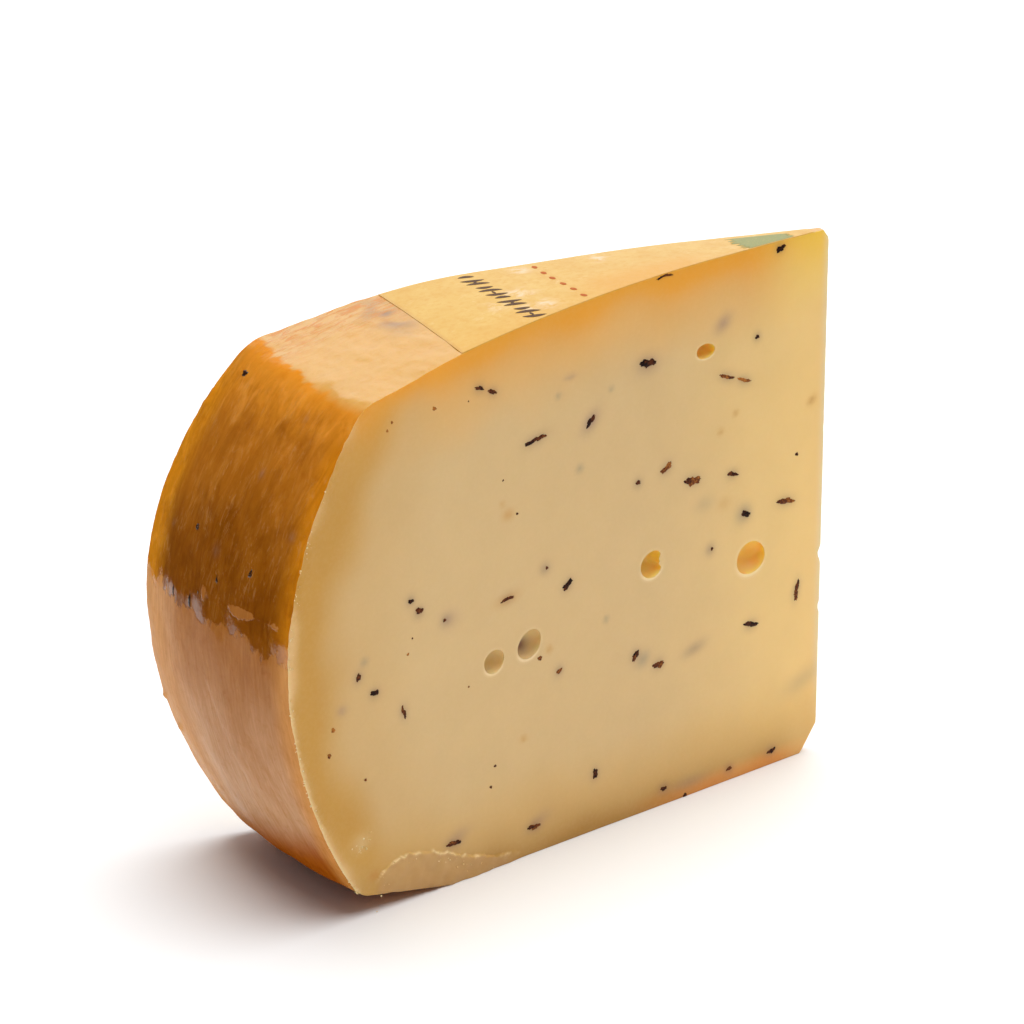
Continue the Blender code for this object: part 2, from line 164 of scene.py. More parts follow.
# Specks too small for the solid: radius, height, width, and how brown, from 0 for black to 1
FRONT_SPECKS = [
    (0.0060, 0.0567, 0.0008, 0.2), (0.0910, 0.0837, 0.0009, 0.7), (0.0836, 0.0833, 0.0004, 0.4),
    (0.0759, 0.0681, 0.0004, 0.3), (0.0727, 0.0616, 0.0005, 0.2), (0.0674, 0.0349, 0.0011, 0.6),
    (0.0281, 0.0279, 0.0007, 0.3), (0.0323, 0.0003, 0.0010, 0.2), (0.0775, 0.0184, 0.0006, 0.2),
    (0.0785, 0.0149, 0.0007, 0.3), (0.0959, 0.0458, 0.0004, 0.4), (0.1139, 0.0303, 0.0009, 0.6),
    (0.1062, 0.0240, 0.0005, 0.5), (0.0835, 0.0341, 0.0004, 0.5), (0.0904, 0.0063, 0.0011, 0.5),
    (0.1001, 0.0834, 0.0006, 0.8), (0.1011, 0.0822, 0.0006, 0.8), (0.0969, 0.0433, 0.0006, 0.8),
    (0.1130, 0.0345, 0.0009, 0.8),
]
# Specks on the waxed rim: turn, height, width, height of the speck
RIM_SPECKS = [
    (0.822, 0.0840, 0.0014, 0.0012), (0.733, 0.0500, 0.0007, 0.0019), (0.604, 0.0503, 0.0007, 0.0019),
    (0.542, 0.0526, 0.0008, 0.0010), (0.436, 0.0565, 0.0008, 0.0018), (0.249, 0.0596, 0.0008, 0.0014),
    (0.458, 0.0493, 0.0006, 0.0012), (0.640, 0.0620, 0.0006, 0.0009), (0.300, 0.0722, 0.0006, 0.0007),
]
FLAKE_PROUD = 0.00007
FLAKE_SUNK = 0.0004
FLAKE_SIDES = 20
FLAKE_WAVINESS = 0.19
SPECK_WAVINESS = 0.17
RIM_SPECK_WAVINESS = 0.22
RIM_SPECK_RISE = (0.00012, 0.0005)     # how far a speck stands out of the rim, and how deep it is sunk
LUMP_SPACING = 0.0011      # a flake is a row of uneven lumps, about this far apart
BURIED_DOT = 0.0006        # what shows of a buried flake
BURIED_BROWN = 0.35
BACK_FLAKE_COUNT = 34
BACK_FLAKE_LENGTHS = (0.0012, 0.0045)
BACK_FLAKE_THICKNESSES = (0.0008, 0.0014)
BACK_FLAKE_TILTS = (-40, 60)
BACK_FLAKE_CLEARANCE = 0.006
SMALL_FLAKE_SHARE = 2.5
EDGE_CLEARANCE = 0.003
RANDOM_SEED = 11           # places the back cut's flakes where the frame's solid has them
FLAKE_SEED, SPECK_SEED, CRUMB_SEED, BAND_SEED, RING_SEED = 5, 8, 21, 3, 9

# The crumbly strip along the front cut's foot, from the rim inwards: radius and height of its top line
FOOT_CRACK = [
    (0.1040, 0.0058), (0.1019, 0.0074), (0.0988, 0.0083), (0.0954, 0.0082),
    (0.0907, 0.0070), (0.0854, 0.0047), (0.0777, 0.0024), (0.0715, 0.0012),
]
FOOT_CRACK_PROUD = 0.0003
FOOT_CRACK_FADES = ((0.0705, 0.0770), (0.1046, 0.1030))   # from nothing to full, at its two ends
CRUMB_PATCH = (0.1074, 0.0132)     # a crumbly patch on the front cut by the foot: radius and height

# Crumbs on the front cut: how many, and their sizes
RIM_CRUMBS, STRIP_CRUMBS, PATCH_CRUMBS = 110, 60, 18
CRUMB_SIZES = (0.00014, 0.00034)
PATCH_CRUMB_SIZES = (0.0002, 0.0005)
CRUMB_SIDES = 8

# Stains in the paste of the front cut: radius, height, width, height of the stain, tilt, colour, strength
STAINS = [
    (0.0250, 0.0843, 0.0027, 0.0018, 28, "purple", 0.50), (0.0609, 0.0825, 0.0018, 0.0007, 0, "purple", 0.35),
    (0.0585, 0.0661, 0.0012, 0.0010, 0, "grey", 0.45), (0.0635, 0.0798, 0.0009, 0.0007, 0, "grey", 0.40),
    (0.0514, 0.0784, 0.0009, 0.0007, 0, "grey", 0.35), (0.0215, 0.0676, 0.0009, 0.0007, 0, "rust", 0.55),
    (0.0251, 0.0650, 0.0009, 0.0007, 0, "rust", 0.50), (0.0025, 0.0658, 0.0014, 0.0009, 20, "rust", 0.70),
    (0.0287, 0.0529, 0.0030, 0.0020, 0, "grey", 0.22), (0.0239, 0.0519, 0.0020, 0.0015, 0, "rust", 0.28),
    (0.0747, 0.0619, 0.0016, 0.0012, 0, "rust", 0.60), (0.0760, 0.0640, 0.0009, 0.0007, 0, "rust", 0.40),
    (0.0653, 0.0360, 0.0009, 0.0009, 0, "rust", 0.60), (0.0520, 0.0379, 0.0009, 0.0009, 0, "grey", 0.40),
    (0.0033, 0.0141, 0.0058, 0.0024, 15, "grey", 0.24), (0.0710, 0.0215, 0.0009, 0.0007, 0, "rust", 0.60),
    (0.0314, 0.0024, 0.0060, 0.0016, 0, "grey", 0.35), (0.1063, 0.0444, 0.0012, 0.0010, 0, "grey", 0.40),
    (0.1111, 0.0373, 0.0014, 0.0011, 0, "purple", 0.35), (0.1044, 0.0066, 0.0015, 0.0012, 0, "rust", 0.70),
    (0.1074, 0.0132, 0.0026, 0.0021, 0, "pale", 0.30), (0.0431, 0.0284, 0.0022, 0.0018, 20, "grey", 0.50),
    (0.0702, 0.0374, 0.0022, 0.0022, 0, "purple", 0.50), (0.0749, 0.0473, 0.0034, 0.0012, 6, "rust", 0.45),
    (0.0561, 0.0738, 0.0034, 0.0020, 41, "purple", 0.30), (0.0192, 0.0489, 0.0026, 0.0024, 0, "grey", 0.40),
    (0.0428, 0.0807, 0.0044, 0.0024, 0, "purple", 0.20), (0.0858, 0.0082, 0.0034, 0.0018, 15, "purple", 0.26),
    (0.0672, 0.0058, 0.0032, 0.0016, 15, "purple", 0.24), (0.0875, 0.0469, 0.0030, 0.0022, 0, "purple", 0.18),
]
HALO_WIDTH = 0.0010        # how far a flake's purplish shadow spreads in the paste
HALO_REACH = 0.72          # how far the shadow reaches, in its own sizes
HALO_STRENGTH = 0.36
BURIED_STRENGTH = 0.42
STAIN_REACH = 0.75         # how far a stain reaches, in its own sizes

# The label
LABEL_TIP = 0.003
LABEL_LENGTH = 0.0814
LABEL_SKEW = 0.114
LABEL_PROUD = 0.00008
LABEL_DEEP = 0.0003
LABEL_INSET = 0.00012
LABEL_ROW = 0.0009
LABEL_COLUMNS = 30
PRINT_PROUD = 0.00003
PRINT_SUNK = 0.00005

# Its generic print: a band of leaf shapes, a row of dots and a ring round the wheel's middle
BAND_BACK, BAND_FRONT = (0.0666, 22.0), (0.0674, 0.8)     # radius, and degrees from the front cut
BAND_SHAPES = 12
BAND_HEIGHT = 0.0041
LEAF_WIDTH, LEAF_BEND = 0.00105, 0.0010
DASH = (0.0014, 0.0005)    # a short leaf across the band: length and width
DOTS = [(0.0543, 20.6), (0.0543, 16.8), (0.0544, 13.4), (0.0546, 9.6), (0.0549, 6.1), (0.0557, 2.4)]
DOT_SIZE = (0.0015, 0.0009)
RING_RADII = (0.0080, 0.0190)
RING_MARGIN = 1.2          # degrees that the ring keeps from each cut
# Pale scuffs: radius, degrees from the front cut, size
SCUFFS = [
    (0.0687, 7.9, 0.0016), (0.0627, 10.4, 0.0022), (0.0658, 4.2, 0.0015),
    (0.0628, 4.0, 0.0020), (0.0572, 20.3, 0.0016), (0.0429, 19.4, 0.0018),
]

# Camera, worked out from the photograph's straight edges and the wheel's outline
CAMERA_PLACE = (-0.38927, -0.61475, 0.31000)
CAMERA_YAW = math.radians(32.17)
CAMERA_PITCH = math.radians(19.26)
CAMERA_ROLL = 0.0036
CAMERA_LENS = 161.72
SENSOR = 36.0

# The studio
TABLE_RADIUS = 0.207
GROUND_SIZE = 20.0         # the ground's radius, in table radii
FLOOR_HEIGHT = -0.00005
FLOOR_SIDES = 96
WORLD_LIGHT = 0.20
WORLD_MIRRORED = 0.02


def screen(red, green, blue, light=1.0):
    """A colour as a screen shows it, 0 to 255, in linear light, where this share of full light falls."""
    return tuple((value / 255) ** 2.2 / light for value in (red, green, blue))


# Colours of the paste
CUT_LIGHT = 0.915
PASTE = screen(214, 180, 125, CUT_LIGHT)
PASTE_TIP = screen(238, 198, 124, CUT_LIGHT)
# An orange band under the top: drier paste, with painted glow of light through the edge in it
PASTE_TOP = screen(234, 156, 36, CUT_LIGHT)
PASTE_UNDER_TOP = screen(226, 173, 98, CUT_LIGHT)
PASTE_TIP_TOP = screen(244, 194, 66, CUT_LIGHT)
PASTE_TIP_UNDER = screen(244, 202, 108, CUT_LIGHT)
PASTE_TIP_LINE = screen(228, 208, 168, CUT_LIGHT)
PASTE_RIM = screen(196, 144, 59, CUT_LIGHT)
PASTE_RIM_EDGE = screen(226, 184, 124, CUT_LIGHT)
PASTE_FOOT = screen(174, 126, 52, CUT_LIGHT)
PASTE_TIP_FOOT = screen(216, 134, 50, CUT_LIGHT)
PASTE_LOW = screen(217, 168, 84, CUT_LIGHT)
PASTE_BURR = screen(240, 212, 156, CUT_LIGHT)
# Painted highlight along the crack's ledge
PASTE_CRACK_HIGHLIGHT = screen(236, 206, 150, CUT_LIGHT)
PASTE_STRIP = screen(194, 150, 98, CUT_LIGHT)
PASTE_GRAIN = screen(250, 222, 170, CUT_LIGHT)
# Inside the eyes: the amber is painted glow of light through the paste; the pale colour is also laid low down
# as painted light
EYE_AMBER_GLOW = (0.98, 0.66, 0.12)
EYE_PALE = (0.92, 0.75, 0.40)
# Painted highlight round an eye's lower side
EYE_LIP_HIGHLIGHT = screen(248, 222, 174, CUT_LIGHT)
STAIN_COLOURS = {
    "grey": screen(132, 118, 104, CUT_LIGHT),
    "purple": screen(134, 96, 104, CUT_LIGHT),
    "rust": screen(196, 134, 56, CUT_LIGHT),
    "pale": screen(236, 214, 168, CUT_LIGHT),
}
HALO = screen(120, 86, 86, CUT_LIGHT)

# Colours of the rind: the wax's amber, with painted shade, painted light, painted reflections and painted
# glow
AMBER = (0.50, 0.163, 0.011)
# Darker amber: the wax's own random darker tone, and painted shade below the shoulder and in one patch
AMBER_DARK_AND_SHADE = (0.26, 0.072, 0.0015)
# Painted light: the shoulder lighter where light falls on it and a highlight runs
AMBER_SHOULDER_LIT = (0.71, 0.250, 0.018)
# Painted reflection of the light above, on the top
AMBER_TOP_REFLECTION = (0.68, 0.375, 0.106)
# Painted glow of light through the wax, by the two cuts
AMBER_EDGE_GLOW = (0.66, 0.220, 0.005)
AMBER_BACK_GLOW = (0.76, 0.270, 0.008)
# Below the waist: the amber with painted reflection of the white table on it
PINK_HIGH_REFLECTION = (0.42, 0.152, 0.030)
PINK_LOW_REFLECTION = (0.64, 0.345, 0.172)
PINK_BACK_REFLECTION = (0.71, 0.320, 0.095)
PINK_EDGE_REFLECTION = (0.70, 0.300, 0.070)
# Painted shade low down by the foot
PINK_FOOT_SHADE = (0.44, 0.110, 0.005)
RIND_STAIN = (0.26, 0.150, 0.090)
# Greyish marks under the wax: turn, height, size, strength
RIND_STAINS = [
    (0.360, 0.0738, 0.0007, 0.55), (0.085, 0.0674, 0.0008, 0.60), (0.269, 0.0830, 0.0006, 0.45),
    (0.826, 0.0600, 0.0006, 0.50), (0.470, 0.0605, 0.0010, 0.40),
]
SMUDGE = (0.69, 0.0840, 0.25, 0.0028)   # on the top by the label: turn, radius, and its size in both
# Places above the waist where the coat and its painted reflection of the table reach up: turn, height, and
# size in both
REFLECTION_ISLANDS = [(0.150, 0.0533, 0.120, 0.0010), (0.310, 0.0530, 0.075, 0.0011), (0.500, 0.0535, 0.040, 0.0020)]
REFLECTION_ISLAND_STRENGTH = 0.0060   # how far an island moves the coat's edge, and the painted reflection with it


def spaced(first, last, steps):
    return [first + (last - first) * step / steps for step in range(steps + 1)]


def between(pair, turn):
    return pair[0] + (pair[1] - pair[0]) * turn


def smooth(low, high, value):
    """0 up to low, 1 from high on, and an easy curve between them. Low may be the larger of the two."""
    share = np.clip((value - low) / (high - low), 0.0, 1.0)
    return share * share * (3 - 2 * share)


def blend(first, second, share):
    """Colours that run from the first to the second, for an array of shares."""
    share = np.asarray(share)[..., None]
    return np.asarray(first) * (1 - share) + np.asarray(second) * share


def near(gap, reach, power=2.0):
    """1 where the gap is nothing or less, and a soft fall to 0 over about this reach."""
    return np.exp(-(np.maximum(gap, 0) / reach) ** power)


def rough_field(points, size, seed=0):
    """A soft random value, about -0.5 to 0.5, for each point of an array, that changes over this distance."""
    shift = Vector((seed * 7.3, seed * 3.1, seed * 5.7))
    return np.array([noise.noise(Vector(point) / size + shift) for point in points])


def unrolled(grid):
    """Places of the rind's points as if it were rolled out flat."""
    return np.stack([grid["across"], grid["run"], np.zeros_like(grid["run"])], axis=-1).reshape(-1, 3)


def rind_field(grid, stretch, size, seed):
    """A soft random value for each point of the rind, by its place on the unrolled rind."""
    return rough_field(unrolled(grid) * stretch, size, seed).reshape(grid["run"].shape)


# The wheel's form

def top_height(radius, turn):
    """How high the wheel's top is: flat in the middle, then a dome, with a slight swell at the back."""
    past_flat = max(0.0, radius - FLAT_RADIUS) / (DOME_RADIUS - FLAT_RADIUS)
    swell = CROWN_SWELL * turn * math.exp(-((radius - SWELL_RADIUS) / SWELL_SPREAD) ** 2)
    return HEIGHT - DOME_DROP * past_flat ** 2 + swell


def side_radius(height, turn):
    """How far out the rim is, which bulges most at the waist."""
    over_waist = height - WAIST_HEIGHT
    curve = between(UPPER_CURVE if over_waist > 0 else LOWER_CURVE, turn)
    return RIM_RADIUS - curve * over_waist ** 2


def to_rim(side, radius, height):
    """How far in from the rim places of a cut are."""
    turn = 0.0 if side == FRONT else 1.0
    return np.array([side_radius(each, turn) for each in height]) - radius


def rounded(before, corner, after, reach, steps=6):
    """A curve that cuts the corner between two points, starting this far from it."""
    corner = Vector(corner)
    start = corner + (Vector(before) - corner).normalized() * reach
    end = corner + (Vector(after) - corner).normalized() * reach
    return [tuple(start.lerp(corner, t).lerp(corner.lerp(end, t), t)) for t in spaced(0, 1, steps)]


def resampled(points, count):
    """The same line with this many points, evenly spaced."""
    line = np.array(points)
    run = np.concatenate([[0.0], np.cumsum(np.linalg.norm(np.diff(line, axis=0), axis=1))])
    places = np.linspace(0.0, run[-1], count)
    return np.column_stack([np.interp(places, run, line[:, axis]) for axis in (0, 1)])


def tip_radius(height):
    """Where the tip's chipped edge is, along a cut."""
    chip = max(depth * max(0.0, 1 - abs(height - middle) / half) for middle, depth, half in TIP_CHIPS)
    uneven = 0.00012 * noise.noise(Vector((height / 0.0016, 3.0, 0.0)))
    return max(chip, uneven, 0.0) - TIP_PAST_AXIS


def profile_line(turn):
    """The wheel's outline at a turn: along the top from the tip, down the rim and to the foot."""
    top = [(radius, top_height(radius, turn)) for radius in spaced(tip_radius(HEIGHT), DOME_RADIUS, 40)]
    shoulder = (side_radius(SHOULDER_HEIGHT, turn), SHOULDER_HEIGHT)
    heel = (side_radius(HEEL_HEIGHT, turn), HEEL_HEIGHT)
    foot = (FOOT_RADIUS, 0.0)
    highest = SHOULDER_HEIGHT - SHOULDER_ROUND * CORNER_MARGIN
    lowest = HEEL_HEIGHT + HEEL_ROUND * CORNER_MARGIN
    side = [(side_radius(height, turn), height) for height in spaced(highest, lowest, 60)]
    return (top + rounded(top[-1], shoulder, side[0], SHOULDER_ROUND) + side
            + rounded(side[-1], heel, foot, HEEL_ROUND) + [foot])


def wheel_point(turn, radius, height):
    """A place in the wheel. The back cut stands off the axis, which makes the tip as wide as it is."""
    angle = HALF_ANGLE * (1 - 2 * turn)
    on_axis_cut = Vector((AXIS_X - radius * math.cos(angle), -radius * math.sin(angle), height))
    past_axis = TIP_WIDTH * turn * (1 - radius / RIM_RADIUS)
    return on_axis_cut + Vector((math.sin(HALF_ANGLE), math.cos(HALF_ANGLE), 0.0)) * past_axis


def on_cut(side, radius, height, out=0.0):
    """A point on a cut, or this far out of it."""
    outward = Vector((math.sin(HALF_ANGLE), -side * math.cos(HALF_ANGLE), 0.0))
    return wheel_point(0 if side == FRONT else 1, radius, height) + outward * out


def cut_frame(side, centre, tilt_degrees):
    """Turns local X to run along the cut, local Y to point out of it and local Z up, then tilts about Y."""
    turn = math.pi + HALF_ANGLE if side == FRONT else -HALF_ANGLE
    tilt = Matrix.Rotation(math.radians(tilt_degrees * side), 4, "Y")
    return Matrix.Translation(centre) @ Matrix.Rotation(turn, 4, "Z") @ tilt


def clear_of(taken, radius, height, clearance):
    return all(math.hypot(radius - other[0], height - other[1]) > clearance for other in taken)


def back_flakes():
    """The back cut's flakes, drawn as the frame's solid draws them."""
    draw = random.Random(RANDOM_SEED)
    places = []
    while len(places) < BACK_FLAKE_COUNT:
        radius = draw.uniform(EDGE_CLEARANCE, RIM_RADIUS)
        height = draw.uniform(EDGE_CLEARANCE, HEIGHT)
        inside_side = radius < side_radius(min(height, SHOULDER_HEIGHT), 1) - EDGE_CLEARANCE
        inside_top = height < top_height(radius, 1) - EDGE_CLEARANCE
        if inside_side and inside_top and clear_of(BACK_EYES + places, radius, height, BACK_FLAKE_CLEARANCE):
            shortest, longest = BACK_FLAKE_LENGTHS
            length = shortest + (longest - shortest) * draw.random() ** SMALL_FLAKE_SHARE
            thickness = draw.uniform(*BACK_FLAKE_THICKNESSES)
            places.append((radius, height, length, thickness, draw.uniform(*BACK_FLAKE_TILTS)))
    browns = random.Random(RANDOM_SEED + 1)
    return [place + (0.5 * browns.random() ** 1.5,) for place in places]


# The rind: a grid of points, one row for each turn

def crease(across, height):
    """A shallow crease in the lower rind."""
    start, end = np.array((0.0008, 0.0376)), np.array((-0.0055, 0.0213))
    along = end - start
    place = np.stack([across, height], axis=-1) - start
    share = np.clip(place @ along / (along @ along), 0.0, 1.0)
    gap = np.linalg.norm(place - share[..., None] * along, axis=-1)
    return -0.00012 * np.exp(-(gap / 0.0005) ** 2)


def rind_grid():
    """Points of the rind as arrays over turn and place in the profile, and where each is."""
    count = round(np.sum(np.linalg.norm(np.diff(np.array(profile_line(0.5)), axis=0), axis=1)) / RIND_GRAIN)
    turns = np.array(spaced(0, 1, TURN_STEPS))
    lines = np.array([resampled(profile_line(turn), count) for turn in turns])
    radius, height = lines[..., 0], lines[..., 1]
    turn = np.repeat(turns[:, None], count, axis=1)
    run = np.linspace(0.0, count * RIND_GRAIN, count)[None, :].repeat(len(turns), axis=0)
    across = (turn - 0.5) * 2 * HALF_ANGLE * radius
    slope = np.gradient(lines, axis=1)
    normal = np.stack([-slope[..., 1], slope[..., 0]], axis=-1)
    normal /= np.linalg.norm(normal, axis=-1, keepdims=True)
    grid = {"turn": turn, "run": run, "across": across}
    streaks = rind_field(grid, (1.0, 0.11, 1.0), 0.0013, 1)
    wrinkles = rind_field(grid, (0.6, 1.0, 1.0), 0.0016, 2)
    dimples = rind_field(grid, (1.0, 1.0, 1.0), 0.006, 3)
    on_side = smooth(0.1, 0.5, -np.gradient(height, axis=1) / RIND_GRAIN)
    slow = np.sin(9 * turn + 60 * height) * np.cos(90 * height + 1.0)
    quick = np.sin(24 * turn - 110 * height + 2.0) * 0.5
    swell = RIM_RELIEF * (slow + quick) / 1.5 * on_side
    past_label = smooth(LABEL_LENGTH, LABEL_LENGTH + 0.003, radius)
    off_foot = smooth(0.0, 0.003, height)
    streak_depth = 0.00002 + 0.00003 * smooth(0.046, 0.056, height)
    relief = swell + (streak_depth * streaks * on_side + 0.00012 * wrinkles * (1 - on_side)
                      + 0.00018 * dimples + crease(across, height)) * past_label
    for nub_turn, nub_height, proud in NUBS:
        gap = np.hypot((turn - nub_turn) * 2 * HALF_ANGLE * radius, height - nub_height)
        relief = relief + proud * np.exp(-(gap / NUB_SIZE) ** 2)
    relief *= off_foot
    grid["radius"] = radius + normal[..., 0] * relief
    grid["height"] = height + normal[..., 1] * relief
    return grid


# A cut: its outline, then points inside it that are closer together at eyes, flakes and the crack

def local_to(place, radius, height, tilt_degrees):
    """Distance along and across a tilted feature, for arrays of places on the cut."""
    tilt = math.radians(tilt_degrees)
    toward_tip, up = place[0] - radius, height - place[1]
    along = toward_tip * math.cos(tilt) + up * math.sin(tilt)
    return along, up * math.cos(tilt) - toward_tip * math.sin(tilt)


def ring_places(place, width, tall, tilt_degrees, share, count, phase=0.0):
    """Places on an ellipse round a feature, as radius and height."""
    tilt = math.radians(tilt_degrees)
    turned = np.linspace(0, 2 * math.pi, count, endpoint=False) + phase
    along, up = np.cos(turned) * width / 2 * share, np.sin(turned) * tall / 2 * share
    return np.column_stack([place[0] - along * math.cos(tilt) + up * math.sin(tilt),
                            place[1] + along * math.sin(tilt) + up * math.cos(tilt)])


def eye_share(eye, radius, height):
    """How far out from an eye's middle a place is: 1 on the edge of the opening."""
    along, up = local_to(eye, radius, height, eye[4])
    return np.hypot(along / (eye[2] / 2), up / (eye[3] / 2))


def eye_glow(eyes, radius, height, depth):
    """How much light glows in the paste inside the eyes, most of all in the amber ones."""
    glow = np.zeros(len(radius))
    for eye in eyes:
        inside = (depth > 0.0003) & (eye_share(eye, radius, height) < LIP_SHARE)
        glow = np.where(inside, 0.12 + 0.88 * eye[5], glow)
    return glow


def tongue_reach():
    """How far the tongue closes its eye, for each of the eye's points."""
    _, middle, spread, reach = TONGUE
    angle = np.linspace(0, 2 * math.pi, EYE_POINTS, endpoint=False)
    gap = np.abs((angle - middle + math.pi) % (2 * math.pi) - math.pi)
    return reach * np.exp(-(gap / spread) ** 2) * (1 + 0.35 * np.sin(9 * angle))


def eye_points(eye):
    """Points in and round an eye: place in the flat cut, real place, and depth under the cut."""
    flat, real, depths = [], [], []
    opening = math.acos(EYE_SINK)
    widest = 1 / math.sqrt(1 - EYE_SINK ** 2)
    for ring in range(EYE_RINGS):
        place_share = 1 - ring / EYE_RINGS
        lean = opening + (math.pi - opening) * ring / EYE_RINGS
        real_share = widest * math.sin(lean)
        depth = EYE_DEPTH * (EYE_SINK - math.cos(lean))
        turned = np.linspace(0, 6 * math.pi, EYE_POINTS, endpoint=False)
        uneven = 1 + 0.02 * np.sin(turned + eye[0] * 900 + ring)
        if eye == FRONT_EYES[TONGUE[0]]:
            uneven -= tongue_reach() * place_share
        phase = ring % 2 * math.pi / EYE_POINTS
        flat.append(ring_places(eye, eye[2], eye[3], eye[4], place_share, EYE_POINTS, phase))
        middle = np.array([[eye[0], eye[1]]])
        edge = ring_places(eye, eye[2], eye[3], eye[4], real_share, EYE_POINTS, phase)
        real.append(middle + (edge - middle) * uneven[:, None])
        depths.append(np.full(EYE_POINTS, depth))
    for share, depth in LIP_RINGS:
        ring = ring_places(eye, eye[2], eye[3], eye[4], share, EYE_POINTS)
        flat.append(ring)
        real.append(ring)
        depths.append(np.full(EYE_POINTS, depth))
    flat.append([[eye[0], eye[1]]])
    real.append([[eye[0], eye[1]]])
    depths.append([EYE_DEPTH * (1 + EYE_SINK)])
    return np.concatenate(flat), np.concatenate(real), np.concatenate(depths)


def crack_height(radius):
    """Height of the foot crack's line over a radius, and below the ground where there is none."""
    line = np.array(FOOT_CRACK)[::-1]
    height = np.interp(radius, line[:, 0], line[:, 1], left=-1.0, right=-1.0)
    uneven = [0.0007 * noise.noise(Vector((value / 0.0024, 8.0, 0.0)))
              + 0.0004 * noise.noise(Vector((value / 0.0008, 5.0, 0.0))) for value in np.atleast_1d(radius)]
    return height + np.array(uneven).reshape(np.shape(height))


def crack_strength(radius):
    """1 along the crack, fading to 0 at both of its ends."""
    return smooth(*FOOT_CRACK_FADES[0], radius) * smooth(*FOOT_CRACK_FADES[1], radius)


def crack_points():
    """Places close together along the foot crack, so that its edge is sharp in the mesh."""
    radius = np.arange(FOOT_CRACK[-1][0], FOOT_CRACK[0][0], 0.00035)
    height = crack_height(radius)
    steps = (-0.0006, -0.0003, -0.0001, 0.0001, 0.0003, 0.0006)
    return np.concatenate([np.column_stack([radius, height + step]) for step in steps])


def distance_to_line(places, line):
    """Distance from each place to a line of points."""
    best = np.full(len(places), np.inf)
    for start, end in zip(line[:-1], line[1:]):
        along = end - start
        share = np.clip((places - start) @ along / max(along @ along, 1e-18), 0.0, 1.0)
        best = np.minimum(best, np.linalg.norm(places - start - share[:, None] * along, axis=1))
    return best


def inside_outline(places, outline):
    """True where a place is inside the closed outline."""
    inside = np.zeros(len(places), dtype=bool)
    for start, end in zip(outline, np.roll(outline, -1, axis=0)):
        crosses = (start[1] > places[:, 1]) != (end[1] > places[:, 1])
        rise = end[1] - start[1] if end[1] != start[1] else 1e-18
        at = (end[0] - start[0]) * (places[:, 1] - start[1]) / rise + start[0]
        inside ^= crosses & (places[:, 0] < at)
    return inside


def even_grid(draw):
    """Places over the whole cut, a grain apart in offset rows, each moved a little."""
    rows = []
    for index, height in enumerate(np.arange(0.0, HEIGHT + CUT_GRAIN, ROW_GRAIN)):
        radius = np.arange(-CUT_GRAIN, RIM_RADIUS + CUT_GRAIN, CUT_GRAIN) + (index % 2) * CUT_GRAIN / 2
        rows.append(np.column_stack([radius, np.full(len(radius), height)]))
    places = np.concatenate(rows)
    return places + draw.uniform(-GRAIN_SHIFT, GRAIN_SHIFT, places.shape) * CUT_GRAIN


def cut_outline(profile):
    """The closed outline of a cut: the profile, the foot line towards the tip, and the tip's edge up."""
    foot_start, tip_foot = profile[-1][0], tip_radius(0.0)
    foot_steps = round((foot_start - tip_foot) / CUT_GRAIN)
    foot = [(radius, 0.0) for radius in spaced(foot_start, tip_foot, foot_steps)][1:]
    tip = [(tip_radius(height), height) for height in spaced(0.0, HEIGHT, round(HEIGHT / CUT_GRAIN))][1:-1]
    return np.concatenate([profile, foot, tip]), len(foot), len(tip)


def flake_rings(flakes):
    """Rings of places round each flake, for its shadow in the paste."""
    rings = []
    for flake in flakes:
        for share, count in ((1.0, 14), (1.7, 14)):
            rings.append(ring_places(flake, flake[2] + 0.0003, flake[3] + 0.0003, flake[4], share, count))
    return np.concatenate(rings)


def cut_mesh(profile, eyes, flakes, with_crack, seed):
    """Places, depths and triangles of a cut. The outline's places come first."""
    draw = np.random.default_rng(seed)
    outline, foot_count, tip_count = cut_outline(profile)
    loose = np.concatenate([even_grid(draw), flake_rings(flakes)])
    if with_crack:
        near_crack = np.abs(loose[:, 1] - crack_height(loose[:, 0])) < 0.0009
        loose = np.concatenate([loose[~near_crack], crack_points()])
    for eye in eyes:
        loose = loose[eye_share(eye, loose[:, 0], loose[:, 1]) > LIP_RINGS[-1][0] + 0.08]
    loose = loose[inside_outline(loose, outline)]
    loose = loose[distance_to_line(loose, np.concatenate([outline, outline[:1]])) > EDGE_MARGIN]
    flat, real = [outline, loose], [outline, loose]
    depths = [np.zeros(len(outline)), np.zeros(len(loose))]
    for eye in eyes:
        for gathered, added in zip((flat, real, depths), eye_points(eye)):
            gathered.append(added)
    flat, real, depths = np.concatenate(flat), np.concatenate(real), np.concatenate(depths)
    border = list(range(len(outline)))
    made = delaunay_2d_cdt([Vector(place / MM) for place in flat], [], [border], 1, 1e-6)
    original = [sources[0] for sources in made[3]]
    triangles = [[original[corner] for corner in face] for face in made[2]]
    return {"places": real, "depths": depths, "faces": triangles, "border": len(outline),
            "foot": foot_count, "tip": tip_count}


